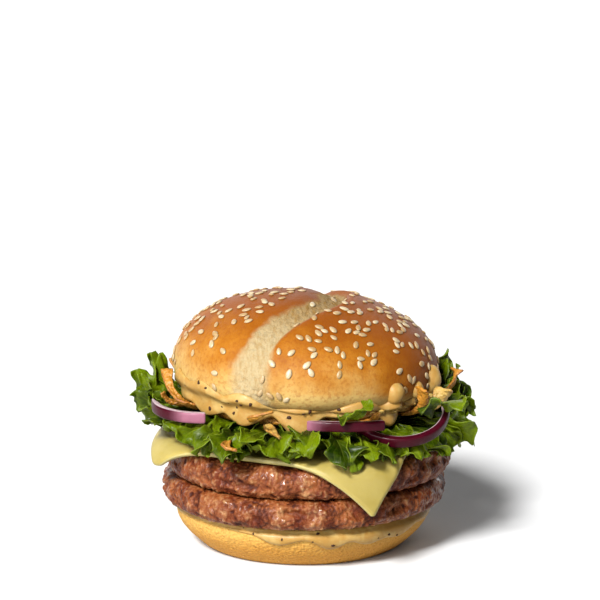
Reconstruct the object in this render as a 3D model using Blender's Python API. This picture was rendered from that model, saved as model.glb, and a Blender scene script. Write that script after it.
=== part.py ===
"""Double cheeseburger, modelled layer by layer from the table up, in metres with +Z up.

The origin is the centre of the flat foot of the heel, and -Y is the front of the burger. Each layer is
one closed solid: heel, sauce, two patties, cheese slice, lettuce, red onion, crispy fried onion, sauce and
seeded crown. Angles run counter-clockwise from +X, so the front is -90 degrees and the left side is 180.
"""

import math
import random

import bmesh
import bpy
from mathutils import Matrix, Vector, noise

MM = 0.001
UP = Vector((0, 0, 1))
SHARP_ANGLE = 50  # degrees between faces, above which an edge is drawn sharp

GAP = 0.35 * MM  # air between neighbours, so that no two solids share a face

HEEL_FOOT_RADIUS = 39.0 * MM
HEEL_RADIUS = 49.6 * MM
HEEL_HEIGHT = 15.6 * MM
HEEL_WIDEST = 13.8 * MM
HEEL_COLUMNS = 44
HEEL_SAG = 0.15 * MM  # how far the straight edges of the sauce cut inside the heel's curve

LOWER_SAUCE_DEPTH = 1.0 * MM
LOWER_SAUCE_THICKNESS = 1.7 * MM

PATTY_RADIUS = 56.3 * MM
LOWER_PATTY_THICKNESS = 11.3 * MM
UPPER_PATTY_THICKNESS = 12.2 * MM
PATTY_EDGE = 5.6 * MM  # how far the rounded edge reaches in from the rim
PATTY_COLUMNS = 42
PATTY_DENT = 2.4 * MM  # depth of the deepest crag in the edge

# Corners of the slice laid flat, in mm
CHEESE_CORNERS = {"left": (-59.8, -27), "front": (29.5, -69.4), "right": (56, 24), "back": (-50, 52)}
CHEESE_THICKNESS = 2.3 * MM
CHEESE_SOFT_CORNER = 0.13  # share of half a side over which the soft left corner is round
CHEESE_CORNER = 0.04
CHEESE_SHOULDER = 7.0 * MM  # radius of the bend over the patty's rim
CHEESE_LEFT_REACH = 2.6 * MM  # how much further out the slice bends at its left
CHEESE_SAG = 0.25 * MM  # how far the facets of the bend cut inside it

LETTUCE_CORE_RADIUS = 41.0 * MM
LETTUCE_CORE_TOP = 54.0 * MM
LEAF_THICKNESS = 0.9 * MM

ONION_WALL = 2.8 * MM

CRISP_CORE_RADIUS = 43.0 * MM
CRISP_THICKNESS = 1.6 * MM

UPPER_SAUCE_DEPTH = 2.6 * MM

CROWN_RIM_Z = 61.3 * MM  # the underside of the crown at its centre
CROWN_RADIUS = 51.5 * MM
CROWN_WIDEST = 7.7 * MM  # height of the widest ring above the underside
CROWN_DOME = 29.2 * MM  # height of the dome above the widest ring
CROWN_RIM_ROUND = 7.0 * MM
CROWN_POWER = 2.15  # a little fuller than an ellipse
CROWN_TILT = 2.2  # degrees, right side down
CROWN_COLUMNS = 42
CROWN_CLIMBS = (-90, -52, -18, 8, 19, 31, 43, 55, 66, 75, 83)
SPLIT_DEPTH = 3.6 * MM
SPLIT_LEFT_WIDTH = 16.0 * MM
SPLIT_RIGHT_WIDTH = 2.4 * MM
SPLIT_LIP = 0.7 * MM
SPLIT_RIGHTMOST = 15.0 * MM
SPLIT_SLANT = 29.5 * MM  # X less Y all along the slanting front part of the fold
SPLIT_TURN = 6.0 * MM  # how gently the fold turns at the top

SEED_COUNT = 132
SEED_LENGTH = 3.3 * MM
SEED_WIDTH = 2.1 * MM
SEED_HEIGHT = 1.1 * MM
SEED_SPACING = 3.3 * MM


# Levels of the stack, each worked out from the layer below
LOWER_SAUCE_TOP = HEEL_HEIGHT + GAP + LOWER_SAUCE_DEPTH
LOWER_PATTY_Z = LOWER_SAUCE_TOP + GAP
UPPER_PATTY_Z = LOWER_PATTY_Z + LOWER_PATTY_THICKNESS + GAP
CHEESE_Z = UPPER_PATTY_Z + UPPER_PATTY_THICKNESS + GAP + CHEESE_SAG
LETTUCE_Z = CHEESE_Z + CHEESE_THICKNESS + GAP
CRISP_Z = LETTUCE_CORE_TOP + GAP

LOWER_PATTY_CENTRE = Vector((0, 0, LOWER_PATTY_Z))
UPPER_PATTY_CENTRE = Vector((1.8 * MM, 0, UPPER_PATTY_Z))


# Small helpers
def smooth(x):
    """0 to 1 with level ends, as x goes from 0 to 1."""
    x = min(1.0, max(0.0, x))
    return x * x * (3 - 2 * x)


def bump(angle, centre, half_width):
    """1 at the centre angle, falling smoothly to 0 at half_width degrees from it."""
    away = abs((angle - centre + 180) % 360 - 180)
    return smooth(1 - away / half_width)


def polar(radius, angle, z):
    a = math.radians(angle)
    return Vector((radius * math.cos(a), radius * math.sin(a), z))


def plan_angle(point):
    return math.degrees(math.atan2(point.y, point.x))


def wave(point, size, seed=0.0):
    """Smooth noise between about -1 and 1, with features of the given size."""
    return noise.noise(point / size + Vector((seed, -seed, 1.7 * seed)))


def angles(count):
    return [i * 360 / count for i in range(count)]


# Building meshes
def new_object(name, bm, material):
    bmesh.ops.recalc_face_normals(bm, faces=bm.faces)
    mesh = bpy.data.meshes.new(name)
    bm.to_mesh(mesh)
    bm.free()
    obj = bpy.data.objects.new(name, mesh)
    bpy.context.scene.collection.objects.link(obj)
    if material:
        mesh.materials.append(material)
        mesh.shade_smooth()
        mesh.set_sharp_from_angle(angle=math.radians(SHARP_ANGLE))
    return obj


def stacked_rings(rings):
    """A closed skin through rings of equal count; the first and last items are single points."""
    bm = bmesh.new()
    made = []
    for ring in rings:
        points = [ring] if isinstance(ring, Vector) else ring
        made.append([bm.verts.new(p) for p in points])
    for lower, upper in zip(made, made[1:]):
        count = max(len(lower), len(upper))
        for i in range(count):
            j = (i + 1) % count
            if len(lower) == 1:
                bm.faces.new((lower[0], upper[j], upper[i]))
            elif len(upper) == 1:
                bm.faces.new((lower[i], lower[j], upper[0]))
            else:
                bm.faces.new((lower[i], lower[j], upper[j], upper[i]))
    return bm


def sheet_solid(bm, point_at, rows, lanes, thickness):
    """Adds a thin solid about the surface point_at(t, s), both faces split into triangles alike."""
    points = [[point_at(i / rows, 2 * j / lanes - 1) for j in range(lanes + 1)] for i in range(rows + 1)]

    def both_faces(i, j):
        along = points[min(i + 1, rows)][j] - points[max(i - 1, 0)][j]
        across = points[i][min(j + 1, lanes)] - points[i][max(j - 1, 0)]
        normal = along.cross(across).normalized() * thickness / 2
        return bm.verts.new(points[i][j] + normal), bm.verts.new(points[i][j] - normal)

    grid = [[both_faces(i, j) for j in range(lanes + 1)] for i in range(rows + 1)]
    for i in range(rows):
        for j in range(lanes):
            corners = (grid[i][j], grid[i + 1][j], grid[i + 1][j + 1], grid[i][j + 1])
            a, b, c, d = (corner[0] for corner in corners)
            bm.faces.new((a, b, c))
            bm.faces.new((a, c, d))
            a, b, c, d = (corner[1] for corner in corners)
            bm.faces.new((c, b, a))
            bm.faces.new((d, c, a))
    rim = [grid[i][0] for i in range(rows + 1)] + [grid[rows][j] for j in range(1, lanes + 1)]
    rim += [grid[i][lanes] for i in range(rows - 1, -1, -1)] + [grid[0][j] for j in range(lanes - 1, 0, -1)]
    for this, following in zip(rim, rim[1:] + rim[:1]):
        bm.faces.new((this[0], this[1], following[1], following[0]))


def apply_modifiers(obj):
    """Makes the evaluated mesh the object's own, in triangles, as a cut's long faces can fold when split."""
    graph = bpy.context.evaluated_depsgraph_get()
    bm = bmesh.new()
    bm.from_object(obj, graph)
    bmesh.ops.triangulate(bm, faces=bm.faces)
    bm.to_mesh(obj.data)
    bm.free()
    obj.modifiers.clear()


def combine(obj, others, operation):
    """Joins the others to obj, or cuts them from it, in one Boolean on a collection, then removes them."""
    collection = bpy.data.collections.new(f"{obj.name}_{operation.lower()}")
    bpy.context.scene.collection.children.link(collection)
    for other in others:
        for holder in list(other.users_collection):
            holder.objects.unlink(other)
        collection.objects.link(other)
    modifier = obj.modifiers.new("combine", "BOOLEAN")
    modifier.operation = operation
    modifier.solver = "MANIFOLD"
    modifier.operand_type = "COLLECTION"
    modifier.collection = collection
    apply_modifiers(obj)
    obj.data.set_sharp_from_angle(angle=math.radians(SHARP_ANGLE))
    for other in others:
        bpy.data.objects.remove(other)
    bpy.data.collections.remove(collection)


def keep_largest_body(obj):
    """Drops the loose scraps that a cut leaves. Faces belong together where they share an edge."""
    bm = bmesh.new()
    bm.from_mesh(obj.data)
    unseen = set(bm.faces)
    bodies = []
    while unseen:
        body, front = [], [unseen.pop()]
        while front:
            face = front.pop()
            body.append(face)
            linked = {other for edge in face.edges for other in edge.link_faces} & unseen
            unseen -= linked
            front.extend(linked)
        bodies.append(body)
    bodies.sort(key=len)
    scraps = [face for body in bodies[:-1] for face in body]
    bmesh.ops.delete(bm, geom=scraps, context="FACES")
    bm.to_mesh(obj.data)
    bm.free()


def clear_of(obj, cutters):
    """Cuts room for the neighbours out of obj and drops the scraps."""
    combine(obj, cutters, "DIFFERENCE")
    keep_largest_body(obj)


def food_material(name, colour, roughness):
    material = bpy.data.materials.new(name)
    material.use_nodes = True
    shader = material.node_tree.nodes["Principled BSDF"]
    shader.inputs["Base Color"].default_value = (*colour, 1)
    shader.inputs["Roughness"].default_value = roughness
    shader.inputs["Metallic"].default_value = 0
    material.diffuse_color = (*colour, 1)
    return material


# Heel and the sauce on it
def heel_radius(angle, z):
    """Radius of the heel's skin at this height, with the slight unevenness of a baked bun."""
    swell = math.sin(math.pi / 2 * min(1.0, z / HEEL_WIDEST))
    over = max(0.0, (z - HEEL_WIDEST) / (HEEL_HEIGHT - HEEL_WIDEST))
    radius = HEEL_FOOT_RADIUS + (HEEL_RADIUS - HEEL_FOOT_RADIUS) * swell - 1.0 * MM * over**2
    return radius + 0.7 * MM * wave(polar(HEEL_RADIUS, angle, 0), 40 * MM, 3)


def make_heel():
    levels = [0, 1.8 * MM, 5.4 * MM, 9.8 * MM, HEEL_WIDEST, HEEL_HEIGHT]
    rings = [Vector((0, 0, 0))]
    rings += [[polar(heel_radius(a, z), a, z) for a in angles(HEEL_COLUMNS)] for z in levels]
    rings.append(Vector((0, 0, HEEL_HEIGHT)))
    return new_object("bun_heel", stacked_rings(rings), food_material("heel_crust", (0.62, 0.36, 0.13), 0.75))


# (centre angle, half width in degrees, drop below the heel's top edge) of each run of sauce over the heel
LOWER_RUNS = (
    (-65, 80, 3.4 * MM), (-101, 12, 2.9 * MM), (-78, 11, 3.6 * MM), (-60, 12, 2.8 * MM), (-44, 13, 2.8 * MM),
    (-22, 14, 1.2 * MM), (10, 30, 2.2 * MM), (48, 18, 3.8 * MM), (80, 26, 2.2 * MM), (112, 17, 4.4 * MM),
    (150, 30, 2.2 * MM), (-160, 26, 0.8 * MM),
)


def lower_sauce_drop(angle):
    return 0.6 * MM + sum(depth * bump(angle, centre, half) for centre, half, depth in LOWER_RUNS)


def make_lower_sauce():
    top, floor = LOWER_SAUCE_TOP, HEEL_HEIGHT + GAP

    def section(angle):
        """Corners of the section, from the top inside round the outer lip to the underside."""
        drop = lower_sauce_drop(angle)
        low = floor - drop
        middle = floor - drop / 2
        fat = LOWER_SAUCE_THICKNESS * (0.55 + 0.45 * smooth(drop / (4 * MM)))
        gap = GAP + HEEL_SAG
        return (
            (heel_radius(angle, HEEL_HEIGHT) - 3 * MM, top),
            (heel_radius(angle, HEEL_HEIGHT) + 0.5 * fat, top - 0.3 * MM),
            (heel_radius(angle, min(middle, HEEL_HEIGHT)) + gap + fat, middle + 0.3 * MM),
            (heel_radius(angle, low) + gap + 0.75 * fat, low + 0.5 * MM),
            (heel_radius(angle, low) + gap, low),
            (heel_radius(angle, min(middle, HEEL_HEIGHT)) + gap, middle),
            (heel_radius(angle, HEEL_HEIGHT) + gap, floor),
        )

    sections = [section(a) for a in angles(HEEL_COLUMNS)]
    rings = [Vector((0, 0, top))]
    for k in range(len(sections[0])):
        corners = [section[k] for section in sections]
        rings.append([polar(radius, a, z) for a, (radius, z) in zip(angles(HEEL_COLUMNS), corners)])
    rings.append(Vector((0, 0, floor)))
    material = food_material("pepper_sauce", (0.72, 0.47, 0.21), 0.4)
    return new_object("sauce_lower", stacked_rings(rings), material)


# Patties
def patty_point(centre, thickness, angle, edge, seed):
    """Point on a patty's rounded edge: edge runs from -90 at the underside to 90 at the top."""
    e = math.radians(edge)
    rim = polar(PATTY_RADIUS, angle, thickness * math.sin(e))
    uneven = 1.1 * MM * (wave(rim, 34 * MM, seed) - 0.5)
    crag = -PATTY_DENT * max(0.0, wave(rim, 8 * MM, seed + 5)) * math.cos(e)
    radius = PATTY_RADIUS - PATTY_EDGE + PATTY_EDGE * math.cos(e) ** 0.7 + uneven + crag
    height = thickness / 2 * (1 + math.sin(e))
    return centre + polar(radius, angle, height)


def make_patty(name, centre, thickness, seed):
    rings = [centre]
    for edge in (-90, -58, -25, 8, 38, 64, 90):
        rings.append([patty_point(centre, thickness, a, edge, seed) for a in angles(PATTY_COLUMNS)])
    rings.append(centre + UP * thickness)
    return new_object(name, stacked_rings(rings), food_material(name + "_meat", (0.26, 0.10, 0.045), 0.5))


# Cheese
def flat_slice(u, v):
    """Point of the flat slice for u, left to right, and v, front to back, both from -1 to 1."""
    radius = CHEESE_SOFT_CORNER if u < 0 and v < 0 else CHEESE_CORNER
    core = 1 - radius
    past = Vector((max(0.0, abs(u) - core), max(0.0, abs(v) - core)))
    if past.length > 0:
        past *= max(past) / past.length
    right = 0.5 + 0.5 * math.copysign(min(abs(u), core) + past.x, u)
    back = 0.5 + 0.5 * math.copysign(min(abs(v), core) + past.y, v)
    corners = {name: Vector((*place, 0)) * MM for name, place in CHEESE_CORNERS.items()}
    front_side = corners["left"].lerp(corners["front"], right)
    back_side = corners["back"].lerp(corners["right"], right)
    return front_side.lerp(back_side, back)


def toward_edges(x):
    """Spreads even steps from -1 to 1 so that they fall closer together near the ends."""
    return 1.25 * x - 0.25 * x**3


def cheese_droop(angle):
    """Degrees below level at which the slice hangs past the patty's rim."""
    return 60 + 14 * bump(angle, -63, 45) + 18 * bump(angle, -165, 55) + 25 * bump(angle, 23, 60)


def cheese_point(u, v, lift=0.0):
    """Point of the slice's underside plus lift along its normal, for u and v as in flat_slice."""
    middle = Vector((UPPER_PATTY_CENTRE.x, UPPER_PATTY_CENTRE.y, 0))
    flat = flat_slice(u, v) - middle
    angle = plan_angle(flat)
    start = PATTY_RADIUS - PATTY_EDGE + 1.5 * MM + CHEESE_LEFT_REACH * bump(angle, -168, 50)
    past = max(0.0, flat.length - start)
    turned = min(past / CHEESE_SHOULDER, math.radians(cheese_droop(angle)))
    hang = past - turned * CHEESE_SHOULDER
    bend = CHEESE_SHOULDER + lift
    radius = min(flat.length, start) + bend * math.sin(turned) + hang * math.cos(turned)
    height = CHEESE_Z + lift - bend * (1 - math.cos(turned)) - hang * math.sin(turned)
    return polar(radius, angle, height) + middle


def make_cheese(name="cheese_slice", spare=0.0):
    bm = bmesh.new()
    middle = CHEESE_THICKNESS / 2

    def point_at(t, s):
        return cheese_point(toward_edges(2 * t - 1), toward_edges(s), middle)

    sheet_solid(bm, point_at, 10, 10, CHEESE_THICKNESS + 2 * spare)
    return new_object(name, bm, None if spare else food_material("cheese", (0.75, 0.56, 0.17), 0.45))


# Leaves
# Each leaf: root angle, root height, tip angle, tip radius, tip height, width, arch and roll; sizes in mm.
# Those at the sides are rolled on edge, so that they show their faces to the front.
FRONT_LEAVES = (
    (173, 53, 175, 60, 73, 14, -1, 60), (180, 51, 179, 65.5, 67, 13, -1, 55),
    (186, 50, 184, 65.5, 60, 16, 3, 65), (193, 50, 190, 64.5, 54, 13, 4, 50),
    (201, 50, 197, 64, 50.5, 13, 4, 30), (213, 51, 214, 62.5, 53.5, 12, 4, 10),
    (226, 51, 225, 63.5, 49, 14, 5, -15), (236, 51, 232, 64, 45.5, 12, 5, 4),
    (243, 51, 243, 65, 44.5, 14, 5, -12), (251, 52, 249.5, 64.5, 51.5, 15, 3, 18),
    (261, 51, 258, 62.5, 48, 15, 4, -8), (272, 51, 270.5, 61.5, 48, 15, 4, 14),
    (282, 50, 284, 63.5, 43, 15, 6, -14), (293, 50, 294, 63.5, 45.5, 13, 5, 12),
    (302, 50, 301, 64, 43.5, 11, 5, -10), (313, 49, 312, 65, 43.5, 13, 5, 16),
    (325, 48, 325.5, 66, 42, 15, 5, -20), (340, 49, 347.5, 67, 40.5, 16, 4, -50),
    (351, 50, 358, 67, 52, 17, 3, -60), (1, 51, 1, 64.5, 61, 16, 1, -65), (7, 52, 7, 62, 67.5, 13, -1, -55),
    (14, 53, 11, 58.5, 73, 14, -1, -60),
)
BACK_LEAF_COUNT = 9
LEAF_ROOT_RADIUS = 37 * MM
LEAF_ELBOW = 0.8  # where along the reach a leaf bends up or down
LEAF_TEETH = 2
LEAF_RUFFLE = 0.13  # height of the margin's waves as a share of the width


def all_leaves():
    """The leaves that the front shows, then the back ones by the same rule with seeded sizes."""
    leaves = list(FRONT_LEAVES)
    draw = random.Random(11)
    for i in range(BACK_LEAF_COUNT):
        root = 26 + 140 * (i + 0.5) / BACK_LEAF_COUNT
        lowest, highest, arch = (60, 70, -1) if i % 3 == 1 else (43, 52, 4)
        leaves.append((
            root, draw.uniform(49, 52), root + draw.uniform(-5, 5), draw.uniform(61, 66),
            draw.uniform(lowest, highest), draw.uniform(13, 17), arch, draw.uniform(-25, 25),
        ))
    return leaves


def tooth(x):
    """A row of pointed lobes: 0 at whole numbers and 1 halfway between."""
    return 1 - abs(2 * (x % 1.0) - 1)


def leaf_surface(root, middle, tip, width, roll, seed):
    """A function of t, along the leaf, and s, across it from -1 to 1, with toothed and ruffled margins."""
    draw = random.Random(seed)
    phase, waves = draw.uniform(0, 6.28), draw.uniform(1.0, 1.5)
    fold = draw.uniform(0.1, 0.4) * draw.choice((-1, 1))

    def point_at(t, s):
        spine = root * (1 - t) ** 2 + middle * 2 * t * (1 - t) + tip * t * t
        along = ((middle - root) * (1 - t) + (tip - middle) * t).normalized()
        level = Matrix.Rotation(math.radians(-90), 3, "Z") @ Vector((along.x, along.y, 0)).normalized()
        across = Matrix.Rotation(math.radians(roll), 3, along) @ level
        normal = across.cross(along)
        body = (0.34 + 0.95 * t) * (1.16 - max(0.0, t) ** 3.5)
        lobes = tooth(LEAF_TEETH * t)
        half = width / 2 * body * (0.68 + 0.4 * lobes)
        ruffle = LEAF_RUFFLE * width * s * s * math.sin(2 * math.pi * waves * t + phase + 1.3 * s)
        lift = fold * abs(s) * half + ruffle
        return spine + across * s * half + along * (abs(s) * 0.16 * width * lobes * (1 - t)) + normal * lift

    return point_at


def bed_leaf(index, leaf):
    root_angle, root_z, tip_angle, tip_radius, tip_z, width, arch, roll = leaf
    root = polar(LEAF_ROOT_RADIUS, root_angle, root_z * MM)
    elbow_radius = LEAF_ROOT_RADIUS + LEAF_ELBOW * (tip_radius * MM - LEAF_ROOT_RADIUS)
    middle = polar(elbow_radius, (root_angle + tip_angle) / 2, (root_z + arch) * MM)
    if abs(root_angle - tip_angle) > 180:
        middle.xy = -middle.xy
    tip = polar(tip_radius * MM, tip_angle, tip_z * MM)
    return leaf_surface(root, middle, tip, width * MM, roll, 100 + index)


def make_lettuce():
    count = 20

    def bed_ring(radius, z):
        return [polar(radius * (1 + 0.05 * wave(polar(1, a, 0), 0.4, 9)), a, z) for a in angles(count)]

    low, high = LETTUCE_Z, LETTUCE_CORE_TOP
    rings = [Vector((0, 0, low)), bed_ring(LETTUCE_CORE_RADIUS - 3 * MM, low)]
    rings += [bed_ring(LETTUCE_CORE_RADIUS, (low + high) / 2), bed_ring(LETTUCE_CORE_RADIUS - 3 * MM, high)]
    rings.append(Vector((0, 0, high)))
    bed = new_object("lettuce_bed", stacked_rings(rings), food_material("lettuce", (0.16, 0.30, 0.03), 0.4))
    leaves = []
    for index, leaf in enumerate(all_leaves()):
        bm = bmesh.new()
        sheet_solid(bm, bed_leaf(index, leaf), 2 * LEAF_TEETH, 2, LEAF_THICKNESS)
        leaves.append(new_object(f"leaf_{index}", bm, None))
    combine(bed, leaves, "UNION")
    return bed


# Loose sprigs that lie on top of the onion: name, root, elbow and tip (mm), width, roll, seed
SPRIGS = (
    ("lettuce_sprig_front", (13, -53, 60.4), (19, -60, 60.5), (24, -58, 68.5), 10, -10, 8),
    ("lettuce_sprig_right", (42, -47, 62), (51, -46, 65), (60, -38, 63.5), 14, -25, 19),
)


def make_sprigs():
    made = []
    for name, root, elbow, tip, width, roll, seed in SPRIGS:
        bm = bmesh.new()
        spine = (Vector(place) * MM for place in (root, elbow, tip))
        surface = leaf_surface(*spine, width * MM, roll, seed)
        sheet_solid(bm, surface, 2 * LEAF_TEETH, 2, LEAF_THICKNESS)
        made.append(new_object(name, bm, food_material(name, (0.22, 0.38, 0.04), 0.4)))
    return made


# Red onion
# Name, centre (mm), radius (mm), first and last angle, forward tilt in degrees, height of the slice (mm)
ONIONS = (
    ("onion_left", (-37.0, -20.5, 56.2), 20.8, 180, 272, 3, 4.2),
    ("onion_front", (15.6, -16.5, 55.6), 40.0, -111, -69, 0, 3.8),
    ("onion_right", (35.6, -33.0, 57.0), 19.2, -150, 8, 28, 4.2),
    ("onion_back", (-10.0, 22.0, 55.4), 33.0, 62, 132, 0, 4.2),
)


def onion_point(centre, radius, angle, tilt, outward, height):
    flat = polar(radius + outward, angle, height)
    return Matrix.Rotation(math.radians(tilt), 3, "X") @ flat + centre


def make_onion(name, centre, radius, first, last, tilt, height, spare=0.0):
    """A cut length of onion ring, rounded on its skin side and tapering to its first end."""
    steps = max(5, round(abs(last - first) * radius / 260))
    margin = math.degrees(spare / (radius * MM))
    high = height * MM
    bm = bmesh.new()
    sections = []
    for i in range(steps + 1):
        share = i / steps
        angle = first - margin + (last - first + 2 * margin) * share
        wall = ONION_WALL * (0.45 + 0.55 * smooth(share * 5))
        corners = (
            (-wall - spare, -spare), (-wall * 0.2, -spare), (spare, 0.18 * high),
            (spare, 0.85 * high), (-wall * 0.2, high + spare), (-wall - spare, high + spare),
        )
        place = Vector(centre) * MM
        sections.append([bm.verts.new(onion_point(place, radius * MM, angle, tilt, *c)) for c in corners])
    for this, following in zip(sections, sections[1:]):
        for i in range(len(this)):
            j = (i + 1) % len(this)
            bm.faces.new((this[i], this[j], following[j], following[i]))
    bm.faces.new(sections[0])
    bm.faces.new(sections[-1])
    return new_object(name, bm, None if spare else food_material(name, (0.22, 0.03, 0.08), 0.35))


# Crown
def crown_place(point):
    """From the crown's own frame to the burger's."""
    turned = Matrix.Rotation(math.radians(CROWN_TILT), 3, "Y") @ point
    return turned + Vector((0.3 * MM, 0, CROWN_RIM_Z))


def split_line(y):
    """X of the fold across the crown: slanting from the front left to the top, then turning back to the left."""
    short = (SPLIT_RIGHTMOST - SPLIT_SLANT - y) / SPLIT_TURN
    front = SPLIT_RIGHTMOST - SPLIT_TURN * math.log1p(math.exp(short))
    return front - 13 * MM * smooth((y - 8 * MM) / (40 * MM))


def split_offset(x, y):
    """Distance from the fold, positive on its right."""
    slope = (split_line(y + MM) - split_line(y - MM)) / (2 * MM)
    return (x - split_line(y)) / math.sqrt(1 + slope * slope)


def split_relief(x, y):
    """How far the skin lies below the plain dome: a long slope on the left, a steep lip on the right."""
    depth = SPLIT_DEPTH * max(0.1, 1 - ((y - 5 * MM) / (56 * MM)) ** 2)
    off = split_offset(x, y)
    if off < 0:
        return depth * smooth(1 + off / SPLIT_LEFT_WIDTH)
    lip = SPLIT_LIP * math.exp(-(((off - 1.6 * SPLIT_RIGHT_WIDTH) / (4 * MM)) ** 2))
    return depth * (1 - smooth(off / SPLIT_RIGHT_WIDTH)) - lip


def crown_profile(climb):
    """Radius and height of the plain crown; climb runs from -90 at the rim's underside to 90 at the top."""
    c = math.radians(climb)
    if climb < 0:
        return CROWN_RADIUS - CROWN_RIM_ROUND * (1 - math.cos(c)), CROWN_WIDEST * (1 + math.sin(c))
    power = 2 / CROWN_POWER
    return CROWN_RADIUS * math.cos(c) ** power, CROWN_WIDEST + CROWN_DOME * math.sin(c) ** power


def crown_skin(angle, climb, outward=0.0):
    """Point of the crown's skin in the burger's frame, moved outward along its rough normal."""
    radius, height = crown_profile(climb)
    base = polar(radius, angle, height)
    out = Vector((base.x / CROWN_RADIUS, base.y / CROWN_RADIUS, (height - CROWN_WIDEST) / CROWN_DOME))
    if climb < 0:
        out.z = (height - CROWN_WIDEST) / CROWN_WIDEST
    out.normalize()
    uneven = 0.8 * MM * wave(base, 34 * MM, 2)
    sunk = split_relief(base.x, base.y) * smooth((climb + 30) / 40)
    return crown_place(base + out * (outward + (uneven - sunk) * smooth((climb + 60) / 50)))


def seed_spots():
    """Angle, climb, turn and size of each seed, by seeded draws, thin in the fold and near the rim."""
    draw = random.Random(5)
    spots, points = [], []
    while len(spots) < SEED_COUNT:
        angle = draw.uniform(0, 360)
        climb = math.degrees(math.asin(draw.uniform(0.05, 1) ** 0.9))
        point = crown_skin(angle, climb)
        off = split_offset(point.x, point.y)
        wanted = 0.3 + 0.7 * smooth((climb - 4) / 26)
        if -12 * MM < off < 1.5 * MM:
            wanted *= 0.08
        if draw.random() > wanted or any((point - p).length < SEED_SPACING for p in points):
            continue
        spots.append((angle, climb, draw.uniform(0, 180), draw.uniform(0.86, 1.12)))
        points.append(point)
    return spots


def skin_frame(crown, angle, climb):
    """Matrix that sets an object on the crown's faceted skin, its Z along the normal."""
    here = crown.closest_point_on_mesh(crown_skin(angle, climb))[1]
    east = crown_skin(angle + 0.5, climb) - crown_skin(angle - 0.5, climb)
    north = crown_skin(angle, min(climb + 0.5, 89.9)) - crown_skin(angle, climb - 0.5)
    normal = east.cross(north).normalized()
    east.normalize()
    axes = Matrix((east, normal.cross(east), normal)).transposed().to_4x4()
    return Matrix.Translation(here) @ axes


def seed_solid(place, turn, size):
    """A low faceted teardrop, half sunk in the crust."""
    bm = bmesh.new()
    ring = []
    for i in range(5):
        a = math.radians(72 * i)
        pull = 1 + 0.22 * math.cos(a)
        x, y = SEED_LENGTH / 2 * math.cos(a), SEED_WIDTH / 2 * math.sin(a) / pull
        ring.append(bm.verts.new(Vector((x, y, SEED_HEIGHT * 0.35)) * size))
    top = bm.verts.new(Vector((-0.15 * SEED_LENGTH, 0, SEED_HEIGHT)) * size)
    bottom = bm.verts.new(Vector((0, 0, -SEED_HEIGHT)) * size)
    for i in range(5):
        bm.faces.new((ring[i], ring[(i + 1) % 5], top))
        bm.faces.new((ring[(i + 1) % 5], ring[i], bottom))
    bm.transform(place @ Matrix.Rotation(math.radians(turn), 4, "Z"))
    return new_object("seed", bm, None)


def crown_rings(count, climbs, spare=0.0):
    rings = [crown_place(Vector((0, 0, -spare)))]
    for climb in climbs:
        rings.append([crown_skin(a, climb, spare) for a in angles(count)])
    rings.append(crown_skin(0, 90, spare))
    return stacked_rings(rings)


def make_crown():
    bm = crown_rings(CROWN_COLUMNS, CROWN_CLIMBS)
    crown = new_object("bun_crown", bm, food_material("crown_crust", (0.60, 0.27, 0.07), 0.42))
    seeds = []
    for angle, climb, turn, size in seed_spots():
        seeds.append(seed_solid(skin_frame(crown, angle, climb), turn, size))
    combine(crown, seeds, "UNION")
    return crown


# Sauce under the crown
# Centre angle, half width, climb up the crown's side in degrees, hang below the rim (mm), thickness (mm)
DOLLOPS = (
    (-160, 19, -34, 0.6, 1.6), (-140, 17, -42, 3.2, 2.2), (-119, 16, -24, 4.4, 2.4),
    (-93, 14, -60, 7.2, 3.2), (-65, 16, -27, 0.8, 2.4), (-48, 9, 3, 4.4, 3.2), (-35, 8, -8, 0.8, 2.2),
    (-20, 13, 14, 0.6, 2.8),
    (14, 18, -50, 1.6, 2.0), (44, 18, -20, 3.6, 2.4), (72, 14, -60, 1.6, 2.0), (98, 18, -18, 4.2, 2.6),
    (130, 18, -60, 2.0, 2.0), (158, 16, -26, 3.0, 2.4),
)
SAUCE_LEAST_CLIMB = -84
SAUCE_FILM = 0.9 * MM  # where no dollop thickens it


def dollop_sizes(angle):
    """How far the sauce climbs, hangs and bulges at this angle round the rim."""
    rise, hang, thick = 0.0, 0.0, SAUCE_FILM**3
    for centre, half, top, below, fat in DOLLOPS:
        share = bump(angle, centre, half)
        rise += ((top - SAUCE_LEAST_CLIMB) * share**0.6) ** 3
        hang += (below * MM * share) ** 3
        thick += (fat * MM * share**0.5) ** 3
    return SAUCE_LEAST_CLIMB + rise ** (1 / 3), hang ** (1 / 3), thick ** (1 / 3)


def upper_sauce_section(angle, spare=0.0):
    """Points from the underside inside, round the hanging lip and up the crown, then back under the rim."""
    climb, hang, thick = dollop_sizes(angle)
    rise = climb - SAUCE_LEAST_CLIMB
    shown = smooth(rise / 50)
    out = polar(1, angle, 0)
    under = crown_skin(angle, -90)
    floor = under.z - UPPER_SAUCE_DEPTH - spare

    def on_crown(share, fat):
        outward = GAP + thick * fat * (0.3 + 0.7 * shown) + spare
        return crown_skin(angle, SAUCE_LEAST_CLIMB + rise * share, outward)

    lip = on_crown(0.35, 0.85)
    foot = lip + out * 0.15 * thick * (1 - 2 * shown)
    foot.z = floor - hang + 0.8 * MM
    toe = foot - out * (0.8 * thick + 0.6 * MM + 2 * spare) - UP * 0.8 * MM
    inside = under - out * (3 * MM + 2 * spare)
    inside.z = floor
    section = [inside, toe, foot, lip, on_crown(0.75, 0.5 + 0.4 * shown), on_crown(1, 0.2)]
    for share in (0.9, 0.4):
        section.append(crown_skin(angle, SAUCE_LEAST_CLIMB + rise * share, -1.2 * MM))
    return section


def crown_room(spare):
    """The crown grown by the spare, to cut its neighbours with."""
    return new_object("room", crown_rings(CROWN_COLUMNS, CROWN_CLIMBS, spare), None)


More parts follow.
